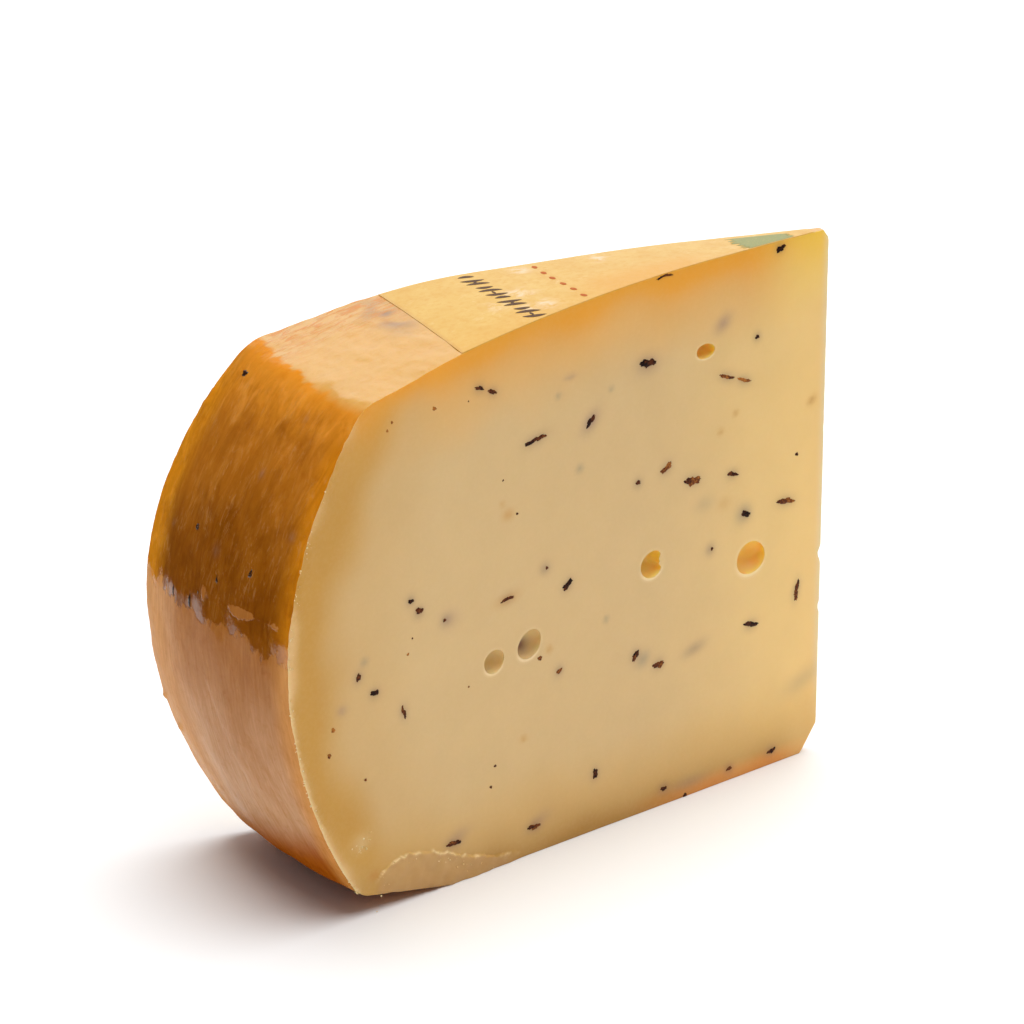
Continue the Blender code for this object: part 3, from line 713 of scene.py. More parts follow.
def cut_relief(side, radius, height):
    """How far the cut's skin stands out: broken strip, crumbly edge by the rind, and slight waves."""
    points = np.column_stack([radius, height, np.full(len(radius), 0.3 if side == FRONT else 0.9)])
    out = 0.00010 * rough_field(points, 0.012, 4)
    rim_gap = to_rim(side, radius, height)
    out += 0.00022 * rough_field(points, 0.0011, 5) * near(rim_gap, 0.0022)
    out -= 0.00010 * near(np.minimum(rim_gap, height), 0.0003, 1.0)
    if side == FRONT:
        below = crack_height(radius) - height
        strip = smooth(-0.00015, 0.00015, below) * crack_strength(radius)
        out += FOOT_CRACK_PROUD * strip + 0.00030 * rough_field(points, 0.0018, 6) * strip
        out += 0.00008 * np.exp(-((below - 0.0002) / 0.00022) ** 2) * crack_strength(radius)
        patch = np.exp(-((radius - CRUMB_PATCH[0]) / 0.0018) ** 2 - ((height - CRUMB_PATCH[1]) / 0.0015) ** 2)
        out += 0.0005 * rough_field(points, 0.0008, 7) * patch
    return out


# Colours over the mesh

def blend_each(colours, second, share):
    """Each colour of an array, run towards the second by its own share."""
    share = np.asarray(share)[..., None]
    return colours * (1 - share) + np.asarray(second) * share


def paste_zones(side, radius, height):
    """The paste's colour without its flakes and eyes: warm by the top, which is drier paste with painted glow
    of light through the edge, brown by the rim, light at the tip.
    """
    turn = 0.0 if side == FRONT else 1.0
    points = np.column_stack([radius, height, np.full(len(radius), turn)])
    uneven = rough_field(points, 0.009, 8)
    top_gap = np.array([top_height(each, turn) for each in radius]) - height + 0.0022 * uneven
    rim_gap = to_rim(side, radius, height) + 0.0030 * uneven
    foot_gap = height + 0.0015 * uneven
    colour = blend(PASTE, PASTE_TIP, smooth(0.046, -0.004, radius + 0.0020 * uneven))
    by_tip = smooth(0.020, 0.001, radius)
    by_rim = 0.25 * smooth(0.030, 0.012, rim_gap) + 0.72 * smooth(0.014, 0.004, rim_gap)
    under_top = 0.85 * smooth(0.018, 0.006, top_gap) * (1 - 0.8 * smooth(0.078, 0.100, radius))
    warm_foot = smooth(0.050, 0.024, radius) * smooth(0.004, 0.001, height)
    by_foot = 0.95 * near(foot_gap, 0.0050, 1.3) * (1 - 0.5 * smooth(0.009, 0.003, radius))
    burr = near(rim_gap - 0.0030 * uneven, 0.0005) * smooth(0.058, 0.036, height)
    tip_line = np.exp(-((radius + TIP_PAST_AXIS) / 0.0010) ** 2) * smooth(0.004, 0.020, height)
    for second, share in (
            (PASTE_RIM, by_rim * (1 - 0.35 * smooth(0.012, 0.004, height))),
            # The orange band under the top: drier paste with painted glow
            (blend(PASTE_UNDER_TOP, PASTE_TIP_UNDER, by_tip), under_top),
            (blend(PASTE_TOP, PASTE_TIP_TOP, by_tip), 0.97 * near(top_gap, 0.0046)),
            (PASTE_LOW, 0.40 * smooth(0.018, 0.006, foot_gap)),
            (blend(PASTE_FOOT, PASTE_TIP_FOOT, warm_foot), by_foot),
            (PASTE_RIM_EDGE, 0.75 * near(rim_gap, 0.0009, 1.5)),
            (PASTE_BURR, 0.85 * burr),
            (PASTE_TIP_LINE, 0.65 * tip_line)):
        colour = blend_each(colour, second, share)
    return colour


def strip_colours(colour, radius, height):
    """Adds the crumbly strip along the front cut's foot, and a painted highlight, broken up, on the edge
    above it.
    """
    below = crack_height(radius) - height
    strength = crack_strength(radius)
    colour = blend_each(colour, PASTE_STRIP, 0.60 * smooth(0.0, 0.0004, below) * strength)
    points = np.column_stack([radius, height, np.zeros(len(radius))])
    broken = np.clip(0.45 + 2.2 * rough_field(points, 0.0016, 12), 0.0, 1.0)
    # Painted highlight along the ledge above the strip, broken up
    lip_highlight = np.exp(-((below - 0.0001) / 0.00020) ** 2) * strength
    return blend_each(colour, PASTE_CRACK_HIGHLIGHT, 0.8 * lip_highlight * broken)


def spotted(colour, radius, height, place, size, second, strength):
    """Adds one soft spot: its size is how far it reaches along and across its tilt."""
    along, up = local_to(place, radius, height, place[4])
    return blend_each(colour, second, strength * np.exp(-np.hypot(along / size[0], up / size[1]) ** 2))


def eye_colours(colour, eye, radius, height, depth):
    """Adds one eye: its inside, amber or pale, with painted glow of light through the paste and painted light
    palest low down, and a painted highlight round its lower side.
    """
    share = eye_share(eye, radius, height)
    inside = smooth(0.00002, 0.0003, depth) * (share < LIP_SHARE)
    # Painted light: palest low down in the eye
    low = smooth(0.1, -1.0, local_to(eye, radius, height, 0)[1] / (eye[3] / 2))
    painted_lighting = blend(EYE_PALE, EYE_AMBER_GLOW, np.full(len(radius), eye[5]))
    painted_lighting = blend_each(painted_lighting, EYE_PALE, 0.35 * low)
    colour = blend_each(colour, painted_lighting, (0.6 + 0.35 * eye[5]) * inside)
    # Painted highlight round the lower side of the opening
    lip_highlight = np.exp(-((share - LIP_SHARE) / 0.12) ** 2) * (1 - inside) * (0.15 + 0.85 * low ** 2)
    return blend_each(colour, EYE_LIP_HIGHLIGHT, 0.7 * lip_highlight)


def paste_colours(side, radius, height, depth, eyes, flakes):
    """The paste's colour for arrays of places on a cut."""
    colour = paste_zones(side, radius, height)
    if side == FRONT:
        colour = strip_colours(colour, radius, height)
    for flake in flakes:
        strength = BURIED_STRENGTH if flake[5] == BURIED else HALO_STRENGTH
        size = [HALO_REACH * (measure / 2 + HALO_WIDTH) for measure in flake[2:4]]
        colour = spotted(colour, radius, height, flake, size, HALO, strength)
    if side == FRONT:
        for stain in STAINS:
            size = [STAIN_REACH * measure for measure in stain[2:4]]
            colour = spotted(colour, radius, height, stain, size, STAIN_COLOURS[stain[5]], stain[6])
    for eye in eyes:
        colour = eye_colours(colour, eye, radius, height, depth)
    if side == FRONT:
        gap = np.hypot(radius - EYE_PATCH[0], height - EYE_PATCH[1])
        patch = np.exp(-(gap / EYE_PATCH[2]) ** 2) * (depth > 0.0002)
        colour = blend_each(colour, STAIN_COLOURS["purple"], 0.92 * patch)
    return colour


def rind_colours(grid):
    """The wax's colour over the rind, with painted shade, light, reflection and glow in it, the lower coat's
    colour, which is painted reflection of the table with painted shade by the foot, and how far each place is
    above the coat's edge.
    """
    turn, height = grid["turn"], grid["height"]
    patches = rind_field(grid, (1.0, 0.6, 1.0), 0.008, 9)
    mottle = rind_field(grid, (1.0, 1.0, 1.0), 0.0035, 10)
    # Painted shade: darker lower on the upper rim and in one patch; the random patches are the wax's own tone
    colour = blend(AMBER_DARK_AND_SHADE, AMBER, smooth(0.054, 0.078, height + 0.010 * patches))
    painted_lighting = np.exp(-(((turn - 0.38) / 0.16) ** 2 + ((height - 0.068) / 0.012) ** 2))
    colour = blend_each(colour, AMBER_DARK_AND_SHADE, np.clip(0.45 * painted_lighting + 0.6 * patches, 0, 1))
    # Painted light on the shoulder
    colour = blend_each(colour, AMBER_SHOULDER_LIT, 0.95 * smooth(0.0775, 0.0850, height + 0.002 * mottle))
    # Painted glow by the two cuts
    on_rim = smooth(0.0860, 0.0780, height)
    colour = blend_each(colour, AMBER_EDGE_GLOW, 0.9 * smooth(0.12, 0.0, turn) * on_rim)
    colour = blend_each(colour, AMBER_BACK_GLOW, 0.95 * smooth(0.80, 0.96, turn) * on_rim)
    # Painted reflection of the light above on the top, with a jagged edge
    jagged = 0.0012 * rind_field(grid, (1.0, 1.0, 1.0), 0.0022, 13) + 0.0007 * mottle
    top_reflection_edge = 0.1073 - 0.0085 * turn + 0.0030 * turn ** 2 + jagged
    on_top = smooth(0.0855, 0.0875, height)
    top_reflection = smooth(0.0003, -0.0003, grid["radius"] - top_reflection_edge) * on_top
    colour = blend_each(colour, AMBER_TOP_REFLECTION, top_reflection)
    for stain_turn, stain_height, size, strength in RIND_STAINS:
        gap = np.hypot((turn - stain_turn) * 2 * HALF_ANGLE * grid["radius"], height - stain_height)
        colour = blend_each(colour, RIND_STAIN, 0.7 * strength * np.exp(-(gap / size) ** 2))
    smudge_gap = np.hypot((turn - SMUDGE[0]) / SMUDGE[2], (grid["radius"] - SMUDGE[1]) / SMUDGE[3])
    smudge = np.exp(-smudge_gap ** 2) * on_top * np.clip(0.7 + 1.6 * mottle, 0.2, 1.0)
    colour = blend_each(colour, RIND_STAIN, 0.9 * smudge)
    # The coat's edge: below it the colour is painted reflection of the table
    coat_edge = 0.0482 + 0.0018 * turn + 0.0022 * rind_field(grid, (1, 0, 0), 0.0032, 11)
    coat_and_reflection_gap = height - coat_edge
    for island_turn, island_height, wide, tall in REFLECTION_ISLANDS:
        reach = np.hypot((turn - island_turn) / wide, (height - island_height) / tall)
        coat_and_reflection_gap = coat_and_reflection_gap - REFLECTION_ISLAND_STRENGTH * np.exp(-reach ** 2)
    # Painted reflection of the table: lighter lower down, towards the back and by the front cut
    low = blend(PINK_LOW_REFLECTION, PINK_HIGH_REFLECTION, smooth(0.016, 0.048, height + 0.006 * patches))
    low = blend_each(low, PINK_BACK_REFLECTION, smooth(0.55, 0.97, turn))
    # Painted shade by the foot, reaching higher at the front
    foot_shade_top = 0.0195 - 0.0105 * turn
    low = blend_each(low, PINK_FOOT_SHADE, smooth(0.0, -0.0095, height - foot_shade_top))
    low = blend_each(low, PINK_EDGE_REFLECTION, 0.9 * smooth(0.12, 0.01, turn))
    grid["wrinkled"] = on_top * smooth(0.45, 0.95, turn)
    grid["streaky"] = 1 - 0.85 * smooth(0.0835, 0.0875, height)
    grid["shine"] = smooth(0.005, 0.012, height) * (1 - 0.9 * on_top * (1 - top_reflection))
    return colour, low, coat_and_reflection_gap


# The whole skin

def rind_layers(grid):
    """What the materials read at each point of the rind."""
    amber, reflection_and_shade, coat_and_reflection_gap = rind_colours(grid)
    count = grid["run"].size
    # The amber and lower-coat colours carry painted shade, light, reflection and glow
    layers = {"paste_tint": np.tile(PASTE, (count, 1)), "in_eye": np.zeros(count), "crumbly": np.zeros(count),
              "amber_tint": amber.reshape(-1, 3), "reflection_and_shade_tint": reflection_and_shade.reshape(-1, 3),
              "coat_and_reflection_gap": coat_and_reflection_gap.ravel(), "unrolled": unrolled(grid)}
    for name in ("wrinkled", "shine", "streaky"):
        layers[name] = grid[name].ravel()
    return layers


def cut_layers(side, made, eyes, flakes):
    """What the materials read at each point of a cut. The rind's own values are the same all over it."""
    radius, height = made["places"].T
    count = len(radius)
    layers = {"paste_tint": paste_colours(side, radius, height, made["depths"], eyes, flakes),
              "in_eye": eye_glow(eyes, radius, height, made["depths"]),
              "crumbly": near(to_rim(side, radius, height), 0.0025),
              "amber_tint": np.tile(AMBER_EDGE_GLOW, (count, 1)), "reflection_and_shade_tint": np.tile(PINK_LOW_REFLECTION, (count, 1)),
              "unrolled": np.zeros((count, 3))}
    for name in ("coat_and_reflection_gap", "wrinkled", "shine", "streaky"):
        layers[name] = np.zeros(count)
    return layers


def end_faces(rows, columns, feet, tips):
    """Faces that close the skin between the two cuts: the tip's edge, the top's point and the foot."""
    front, back = ([feet[end][-1]] + tips[end] + [(0 if end == 0 else rows - 1) * columns] for end in (0, 1))
    last = len(front) - 2
    faces = [(front[step], front[step + 1], back[step + 1], back[step]) for step in range(last)]
    faces.append(tuple([front[last]] + [row * columns for row in range(rows)] + [back[last]]))
    foot_arc = [row * columns + columns - 1 for row in range(rows)]
    return faces + [tuple(foot_arc + feet[1] + feet[0][::-1])]


def cheese_body():
    """One closed mesh: the rind, the two cuts, the tip and the foot, and what its materials read."""
    grid = rind_grid()
    rows, columns = grid["turn"].shape
    places = zip(*(grid[name].ravel() for name in ("turn", "radius", "height")))
    points = [wheel_point(*place) for place in places]
    faces = grid_faces(rows, columns)
    rind_faces = len(faces)
    layers = rind_layers(grid)
    tips, feet = [], []
    for side, row, eyes, flakes in ((FRONT, 0, FRONT_EYES, FRONT_FLAKES),
                                    (BACK, rows - 1, BACK_EYES, back_flakes())):
        profile = np.column_stack([grid["radius"][row], grid["height"][row]])
        made = cut_mesh(profile, eyes, flakes, side == FRONT, row + 1)
        radius, height = made["places"].T
        out = cut_relief(side, radius, height)
        out[made["border"] - made["tip"]:made["border"]] = 0.0
        out = np.concatenate([np.minimum(out[:columns], 0.0), (out - made["depths"])[columns:]])
        placed = [on_cut(side, *place) for place in zip(radius, height, out)]
        index = list(range(row * columns, (row + 1) * columns))
        points[index[0]:index[-1] + 1] = placed[:columns]
        index += range(len(points), len(points) + len(placed) - columns)
        points += placed[columns:]
        for name, values in cut_layers(side, made, eyes, flakes).items():
            if name in ("paste_tint", "crumbly"):
                layers[name][index[:columns]] = values[:columns]
            layers[name] = np.concatenate([layers[name], values[columns:]])
        faces += [tuple(index[corner] for corner in face) for face in made["faces"]]
        first_tip = columns + made["foot"]
        feet.append(index[columns:first_tip])
        tips.append(index[first_tip:first_tip + made["tip"]])
    faces += end_faces(rows, columns, feet, tips)
    waxed = np.zeros(len(faces), dtype=np.int32)
    waxed[:rind_faces] = 1
    waxed[-1] = 1
    return finished("cheese_body", points, faces, layers, 45, waxed)


def grid_faces(rows, columns, first=0):
    """Four-sided faces between the rows of a grid of points."""
    faces = []
    for row in range(rows - 1):
        for column in range(columns - 1):
            here = first + row * columns + column
            faces.append((here, here + 1, here + columns + 1, here + columns))
    return faces


def put_layer(mesh, name, values):
    """A number, vector or colour for each of the mesh's points, which its material reads by name."""
    values = np.array(values, dtype=np.float32)
    kind, field = ("FLOAT", "value") if values.ndim == 1 else ("FLOAT_VECTOR", "vector")
    if name.endswith("_tint"):
        kind, field = "FLOAT_COLOR", "color"
        values = np.column_stack([values, np.ones(len(values), dtype=np.float32)])
    mesh.attributes.new(name, kind, "POINT").data.foreach_set(field, values.ravel())


def finished(name, points, faces, layers=None, sharp_degrees=None, finishes=None):
    """An object with these faces, turned out and shaded smooth, and what its material reads at its points."""
    mesh = bpy.data.meshes.new(name)
    mesh.from_pydata(points, [], faces)
    if finishes is not None:
        mesh.polygons.foreach_set("material_index", finishes)
    for layer, values in (layers or {}).items():
        put_layer(mesh, layer, values)
    shape = bmesh.new()
    shape.from_mesh(mesh)
    bmesh.ops.recalc_face_normals(shape, faces=shape.faces)
    shape.to_mesh(mesh)
    shape.free()
    mesh.shade_smooth()
    if sharp_degrees:
        mesh.set_sharp_from_angle(angle=math.radians(sharp_degrees))
    return linked(name, mesh)


# The truffle

def band_faces(low, high, count):
    """Four-sided faces between two closed rings of points, each given by its first point."""
    steps = [(step, (step + 1) % count) for step in range(count)]
    return [(low + here, low + after, high + after, high + here) for here, after in steps]


def add_closed(points, faces, rings, ends):
    """A closed shape of rings with as many points each, and a point at either end. Gives how many points."""
    start, sides = len(points), len(rings[0])
    bottom = start + sides * len(rings)
    for low in range(start, bottom - sides, sides):
        faces += band_faces(low, low + sides, sides)
    for ring, end in ((start, bottom), (bottom - sides, bottom + 1)):
        faces += [(ring + step, ring + (step + 1) % sides, end) for step in range(sides)]
    points += [point for ring in rings for point in ring] + list(ends)
    return len(points) - start


def add_lens(points, faces, matrix, size, draw, proud, sunk, waviness=SPECK_WAVINESS):
    """A thin uneven bit, half sunk: it lies in the matrix's X and Z, with Y out of the surface."""
    turned = spaced(0, 2 * math.pi, FLAKE_SIDES)[:-1]
    phases = [draw.uniform(0, 2 * math.pi) for _ in range(4)]
    waves = tuple(zip((2, 3, 5, 9), (0.5, 0.8, 0.6, 0.6), phases))
    edge = [1 + waviness * sum(math.sin(count * angle + phase) * share for count, share, phase in waves)
            for angle in turned]
    rings = []
    for share, out in ((0.55, -sunk), (0.95, -sunk * 0.4), (1.0, 0.0), (0.86, proud * 0.8), (0.45, proud)):
        rings.append([
            matrix @ Vector((math.cos(angle) * size[0] / 2 * share * reach,
                             out + proud * 0.25 * draw.uniform(-1, 1) * (out > 0),
                             math.sin(angle) * size[1] / 2 * share * reach))
            for angle, reach in zip(turned, edge)])
    ends = (matrix @ Vector((0, -sunk, 0)), matrix @ Vector((0, proud, 0)))
    return add_closed(points, faces, rings, ends)


def add_flake(points, faces, tones, side, flake, draw):
    """One flake: a row of uneven lumps, darker at one end."""
    radius, height, length, thickness, tilt, brown = flake
    matrix = cut_frame(side, on_cut(side, radius, height), tilt)
    if brown == BURIED:
        end = matrix @ Matrix.Translation((length * draw.choice((-0.3, 0.3)), 0, 0))
        size = (BURIED_DOT, BURIED_DOT)
        count = add_lens(points, faces, end, size, draw, FLAKE_PROUD * 0.5, FLAKE_SUNK * 0.5)
        tones += [BURIED_BROWN] * count
        return
    lumps = max(1, round(length / LUMP_SPACING))
    dark_end = draw.choice((-1, 1))
    for number in range(lumps):
        along = (number + 0.5) / lumps - 0.5
        place = (along * length * 0.75, 0, draw.gauss(0.0, thickness * 0.08))
        lean = Matrix.Rotation(math.radians(draw.uniform(-12, 12)), 4, "Y")
        lump = matrix @ Matrix.Translation(place) @ lean
        long = min(length, length / lumps * draw.uniform(1.5, 1.9) if lumps > 1 else length)
        thick = thickness * draw.uniform(0.75, 1.05) * (1 - 0.20 * abs(2 * along))
        proud = FLAKE_PROUD * draw.uniform(0.8, 1.3)
        count = add_lens(points, faces, lump, (long, thick), draw, proud, FLAKE_SUNK, FLAKE_WAVINESS)
        tones += [max(0.0, brown - 0.35 * max(0.0, along * dark_end * 2) + draw.uniform(-0.06, 0.10))] * count


def truffle_flakes():
    """Every flake and speck that shows on the two cuts."""
    draw = random.Random(FLAKE_SEED)
    points, faces, tones = [], [], []
    for side, flakes in ((FRONT, FRONT_FLAKES + [EDGE_FLAKE]), (BACK, back_flakes())):
        for flake in flakes:
            add_flake(points, faces, tones, side, flake, draw)
    for radius, height, width, brown in FRONT_SPECKS:
        matrix = cut_frame(FRONT, on_cut(FRONT, radius, height), draw.uniform(-50, 50))
        size = (width, width * 0.8)
        tones += [brown] * add_lens(points, faces, matrix, size, draw, FLAKE_PROUD * 0.6, FLAKE_SUNK * 0.5)
    return finished("truffle_flakes", above_ground(points), faces, {"brown": tones})


def above_ground(points):
    """The points, with those below the ground moved up to it."""
    return [Vector((point.x, point.y, max(point.z, 0.0))) for point in points]


def rim_specks():
    """Dark bits of truffle under the wax of the rim."""
    draw = random.Random(SPECK_SEED)
    points, faces = [], []
    for turn, height, width, tall in RIM_SPECKS:
        curve = between(UPPER_CURVE if height > WAIST_HEIGHT else LOWER_CURVE, turn)
        lean = math.atan(2 * curve * (height - WAIST_HEIGHT))
        facing = math.pi / 2 + HALF_ANGLE * (1 - 2 * turn)
        matrix = (Matrix.Translation(wheel_point(turn, side_radius(height, turn), height))
                  @ Matrix.Rotation(facing, 4, "Z") @ Matrix.Rotation(lean, 4, "X"))
        add_lens(points, faces, matrix, (width, tall), draw, *RIM_SPECK_RISE, RIM_SPECK_WAVINESS)
    return finished("rim_specks", points, faces)


# Crumbs that hang on the front cut

def add_crumb(points, faces, centre, size, draw):
    """A small uneven lump: a ball of three rings."""
    wide, deep, tall = [draw.uniform(0.6, 1.3) for _ in range(3)]
    rings = []
    for lift in (-0.65, 0.0, 0.65):
        reach = math.sqrt(1 - lift * lift)
        ring = []
        for angle in spaced(lift, lift + 2 * math.pi, CRUMB_SIDES)[:-1]:
            place = Vector((math.cos(angle) * reach * wide, math.sin(angle) * reach * deep, lift * tall))
            ring.append(centre + place * size / 2 * draw.uniform(0.75, 1.2))
        rings.append(ring)
    end = Vector((0, 0, size / 2 * tall))
    add_closed(points, faces, rings, (centre - end, centre + end))


def crumbs():
    """Crumbs along the front cut's edge by the rind, on the crumbly strip and on the crumbly patch."""
    draw = random.Random(CRUMB_SEED)
    points, faces = [], []
    for _ in range(RIM_CRUMBS):
        height = 0.0045 + 0.075 * draw.random() ** 1.8
        radius = side_radius(height, 0) - abs(draw.gauss(0.0, 0.0004))
        size = draw.uniform(*CRUMB_SIZES)
        add_crumb(points, faces, on_cut(FRONT, radius, height, -size * 0.25), size, draw)
    for _ in range(STRIP_CRUMBS):
        radius = draw.uniform(0.0770, 0.1045)
        height = float(crack_height(np.array([radius]))[0]) - abs(draw.gauss(0.0, 0.0016))
        size = draw.uniform(*CRUMB_SIZES)
        add_crumb(points, faces, on_cut(FRONT, radius, max(height, size), 0.0002), size, draw)
    for _ in range(PATCH_CRUMBS):
        radius, height = CRUMB_PATCH[0] + draw.gauss(0, 0.0011), CRUMB_PATCH[1] + draw.gauss(0, 0.0009)
        size = draw.uniform(*PATCH_CRUMB_SIZES)
        add_crumb(points, faces, on_cut(FRONT, radius, height, -size * 0.15), size, draw)
    return finished("crumbs", above_ground(points), faces)


# The label

def cut_across(side, along):
    """How far across the wedge a cut is, at this distance along it from the wheel's axis."""
    if side == FRONT:
        return -along * math.tan(HALF_ANGLE)
    share = (along + TIP_WIDTH * math.sin(HALF_ANGLE)) / RIM_RADIUS
    radius = share / (math.cos(HALF_ANGLE) + TIP_WIDTH * math.sin(HALF_ANGLE) / RIM_RADIUS) * RIM_RADIUS
    return radius * math.sin(HALF_ANGLE) + TIP_WIDTH * (1 - radius / RIM_RADIUS) * math.cos(HALF_ANGLE)


def label_line(along, side_margin, columns):
    """Places across the label, on a line that leans more and more towards its slanting outer edge."""
    skew = LABEL_SKEW * max(0.0, along) / LABEL_LENGTH * math.tan(HALF_ANGLE)
    at_front, at_back = along / (1 - skew), along / (1 + skew)
    front = Vector((at_front, cut_across(FRONT, max(0.0, at_front)) - side_margin))
    back = Vector((at_back, cut_across(BACK, max(0.0, at_back)) + side_margin))
    return [front.lerp(back, share) for share in spaced(0, 1, columns)]


def top_point(along, across, rise):
    """A point this far above the wheel's top."""
    turn = min(1.0, max(0.0, (1 + math.atan2(across, along) / HALF_ANGLE) / 2))
    return Vector((AXIS_X - along, across, top_height(math.hypot(along, across), turn) + rise))


def label_sheet():
    """The label: a closed thin sheet that follows the wheel's top, with a slight cockle."""
    distances = spaced(LABEL_TIP, LABEL_LENGTH, round((LABEL_LENGTH - LABEL_TIP) / LABEL_ROW))
    scuffs = [(at_degrees(radius, degrees), size) for radius, degrees, size in SCUFFS]
    points, edge, scuffed, warm = [], [], [], []
    for low in (True, False):
        for distance in distances:
            for place in label_line(distance, -LABEL_INSET, LABEL_COLUMNS):
                cockle = 0.00002 * noise.noise(Vector((place[0] / 0.004, place[1] / 0.004, 2.0)))
                points.append(top_point(place[0], place[1], -LABEL_DEEP if low else LABEL_PROUD + cockle))
                edge.append((LABEL_LENGTH - distance) / MM)
                scuffed.append(max(math.exp(-((place - at).length / size) ** 2) for at, size in scuffs))
                turn = (1 + math.atan2(place[1], place[0]) / HALF_ANGLE) / 2
                # Painted: a warmer band towards the front cut, where the label reflects less light
                wear_and_sheen = smooth(0.058, 0.047, distance) * smooth(0.022, 0.034, distance)
                warm.append(max(0.9 * smooth(0.60, 0.15, turn) * wear_and_sheen, 0.35 * smooth(0.30, 0.0, turn)))
    rows, width = len(distances), LABEL_COLUMNS + 1
    layer, last_row = rows * width, (rows - 1) * width
    faces = grid_faces(rows, width) + grid_faces(rows, width, layer)
    border = [*range(width), *range(2 * width - 1, layer, width), *range(layer - 2, last_row - 1, -1),
              *range(last_row - width, 0, -width)]
    for here, after in zip(border, border[1:] + border[:1]):
        faces.append((here, after, layer + after, layer + here))
    return finished("label_paper", points, faces, {"to_edge": edge, "scuffed": scuffed, "warm": warm}, 40)


def print_plates(name, outlines):
    """Thin closed plates on the label, from outlines of places along and across the wedge."""
    points, faces = [], []
    for outline in outlines:
        start, count = len(points), len(outline)
        for rise in (LABEL_PROUD - PRINT_SUNK, LABEL_PROUD + PRINT_PROUD):
            points += [top_point(along, across, rise) for along, across in outline]
        faces.append(tuple(range(start, start + count)))
        faces.append(tuple(range(start + 2 * count - 1, start + count - 1, -1)))
        faces += band_faces(start, start + count, count)
    return finished(name, points, faces, sharp_degrees=40)


def at_degrees(radius, degrees):
    """Along and across for a radius and the degrees from the front cut."""
    angle = math.radians(degrees) - HALF_ANGLE
    return Vector((radius * math.cos(angle), radius * math.sin(angle)))


def leaf(centre, lengthwise, length, width, bend=0.0, steps=12):
    """A pointed leaf shape about a centre, its long way along the given direction."""
    sideways = Vector((-lengthwise.y, lengthwise.x))
    outline = []
    for sign in (1, -1):
        for t in spaced(0, 1, steps)[:-1]:
            place = (t - 0.5) * sign
            half = width / 2 * math.sin(math.pi * t) ** 0.7
            outline.append(tuple(centre + lengthwise * place * length
                                 + sideways * (sign * half + bend * (0.25 - place * place))))
    return outline


def band_leaves():
    """The dark band of leaf shapes across the label."""
    start, end = at_degrees(*BAND_BACK), at_degrees(*BAND_FRONT)
    run = (end - start).normalized()
    outward = Vector((run.y, -run.x))
    lean = (outward + run * 0.35).normalized()
    outlines = []
    draw = random.Random(BAND_SEED)
    for number in range(BAND_SHAPES):
        centre = start.lerp(end, (number + 0.5) / BAND_SHAPES)
        tall = BAND_HEIGHT * (1.0 if number % 3 else 0.72) * draw.uniform(0.92, 1.05)
        outlines.append(leaf(centre, lean, tall, LEAF_WIDTH, LEAF_BEND * (1 if number % 2 else -1)))
        if number % 3 == 1:
            outlines.append(leaf(centre + run * 0.0011, run, *DASH))
    return outlines


def dot_shapes():
    """The row of small ovals across the label."""
    wide, tall = DOT_SIZE[0] / 2, DOT_SIZE[1] / 2
    outlines = []
    for radius, degrees in DOTS:
        centre, outward = at_degrees(radius, degrees), at_degrees(1.0, degrees)
        sideways = Vector((-outward.y, outward.x))
        outlines.append([tuple(centre + outward * math.cos(angle) * tall + sideways * math.sin(angle) * wide)
                         for angle in spaced(0, 2 * math.pi, 18)[:-1]])
    return outlines


def ring_shape():
    """A plain ring round the wheel's middle, as much of it as the wedge has."""
    inner, outer = RING_RADII
    draw = random.Random(RING_SEED)
    outer_edge = spaced(RING_MARGIN, WEDGE_DEGREES - RING_MARGIN, 34)
    inner_edge = spaced(WEDGE_DEGREES - RING_MARGIN * 2, RING_MARGIN * 2, 20)
    outline = [tuple(at_degrees(outer * draw.uniform(0.93, 1.04), degrees)) for degrees in outer_edge]
    outline += [tuple(at_degrees(inner * draw.uniform(0.92, 1.10), degrees)) for degrees in inner_edge]
    return [outline]


# Materials

def new_material(name):
    """A material's nodes, its shader and itself."""
    made = bpy.data.materials.new(name)
    made.use_nodes = True
    return made.node_tree, made.node_tree.nodes["Principled BSDF"], made


def put_all(tree, made, inputs):
    """Sets a node's inputs to a value, or links them to another node's output."""
    for name, value in inputs.items():
        if isinstance(value, bpy.types.NodeSocket):
            tree.links.new(value, made.inputs[name])
        else:
            made.inputs[name].default_value = value


def node(tree, kind, inputs, **settings):
    """A node with its settings and inputs."""
    made = tree.nodes.new("ShaderNode" + kind)
    for name, value in settings.items():
        setattr(made, name, value)
    put_all(tree, made, inputs)
    return made


def place_on(tree):
    return node(tree, "TexCoord", {}).outputs["Object"]


def attribute(tree, name, output="Fac"):
    return node(tree, "Attribute", {}, attribute_name=name).outputs[output]


def noise_of(tree, place, scale, detail=2.0, roughness=0.5, distortion=0.0):
    inputs = {"Vector": place, "Scale": scale, "Detail": detail, "Roughness": roughness}
    return node(tree, "TexNoise", {**inputs, "Distortion": distortion}).outputs["Fac"]


def streaks_of(tree, place, x, y, detail, roughness, distortion=0.0, z=1.0):
    """Noise with its own scale in each direction."""
    scaled = node(tree, "Mapping", {"Vector": place, "Scale": (x, y, z)}).outputs["Vector"]
    return noise_of(tree, scaled, 1.0, detail, roughness, distortion)


def ranged(tree, value, low, high, to_low=0.0, to_high=1.0):
    """A value's range turned into another."""
    inputs = {"Value": value, "From Min": low, "From Max": high, "To Min": to_low, "To Max": to_high}
    return node(tree, "MapRange", inputs).outputs["Result"]


def product(tree, first, second):
    return node(tree, "Math", {0: first, 1: second}, operation="MULTIPLY").outputs[0]


def total(tree, first, second):
    return node(tree, "Math", {0: first, 1: second}, operation="ADD").outputs[0]


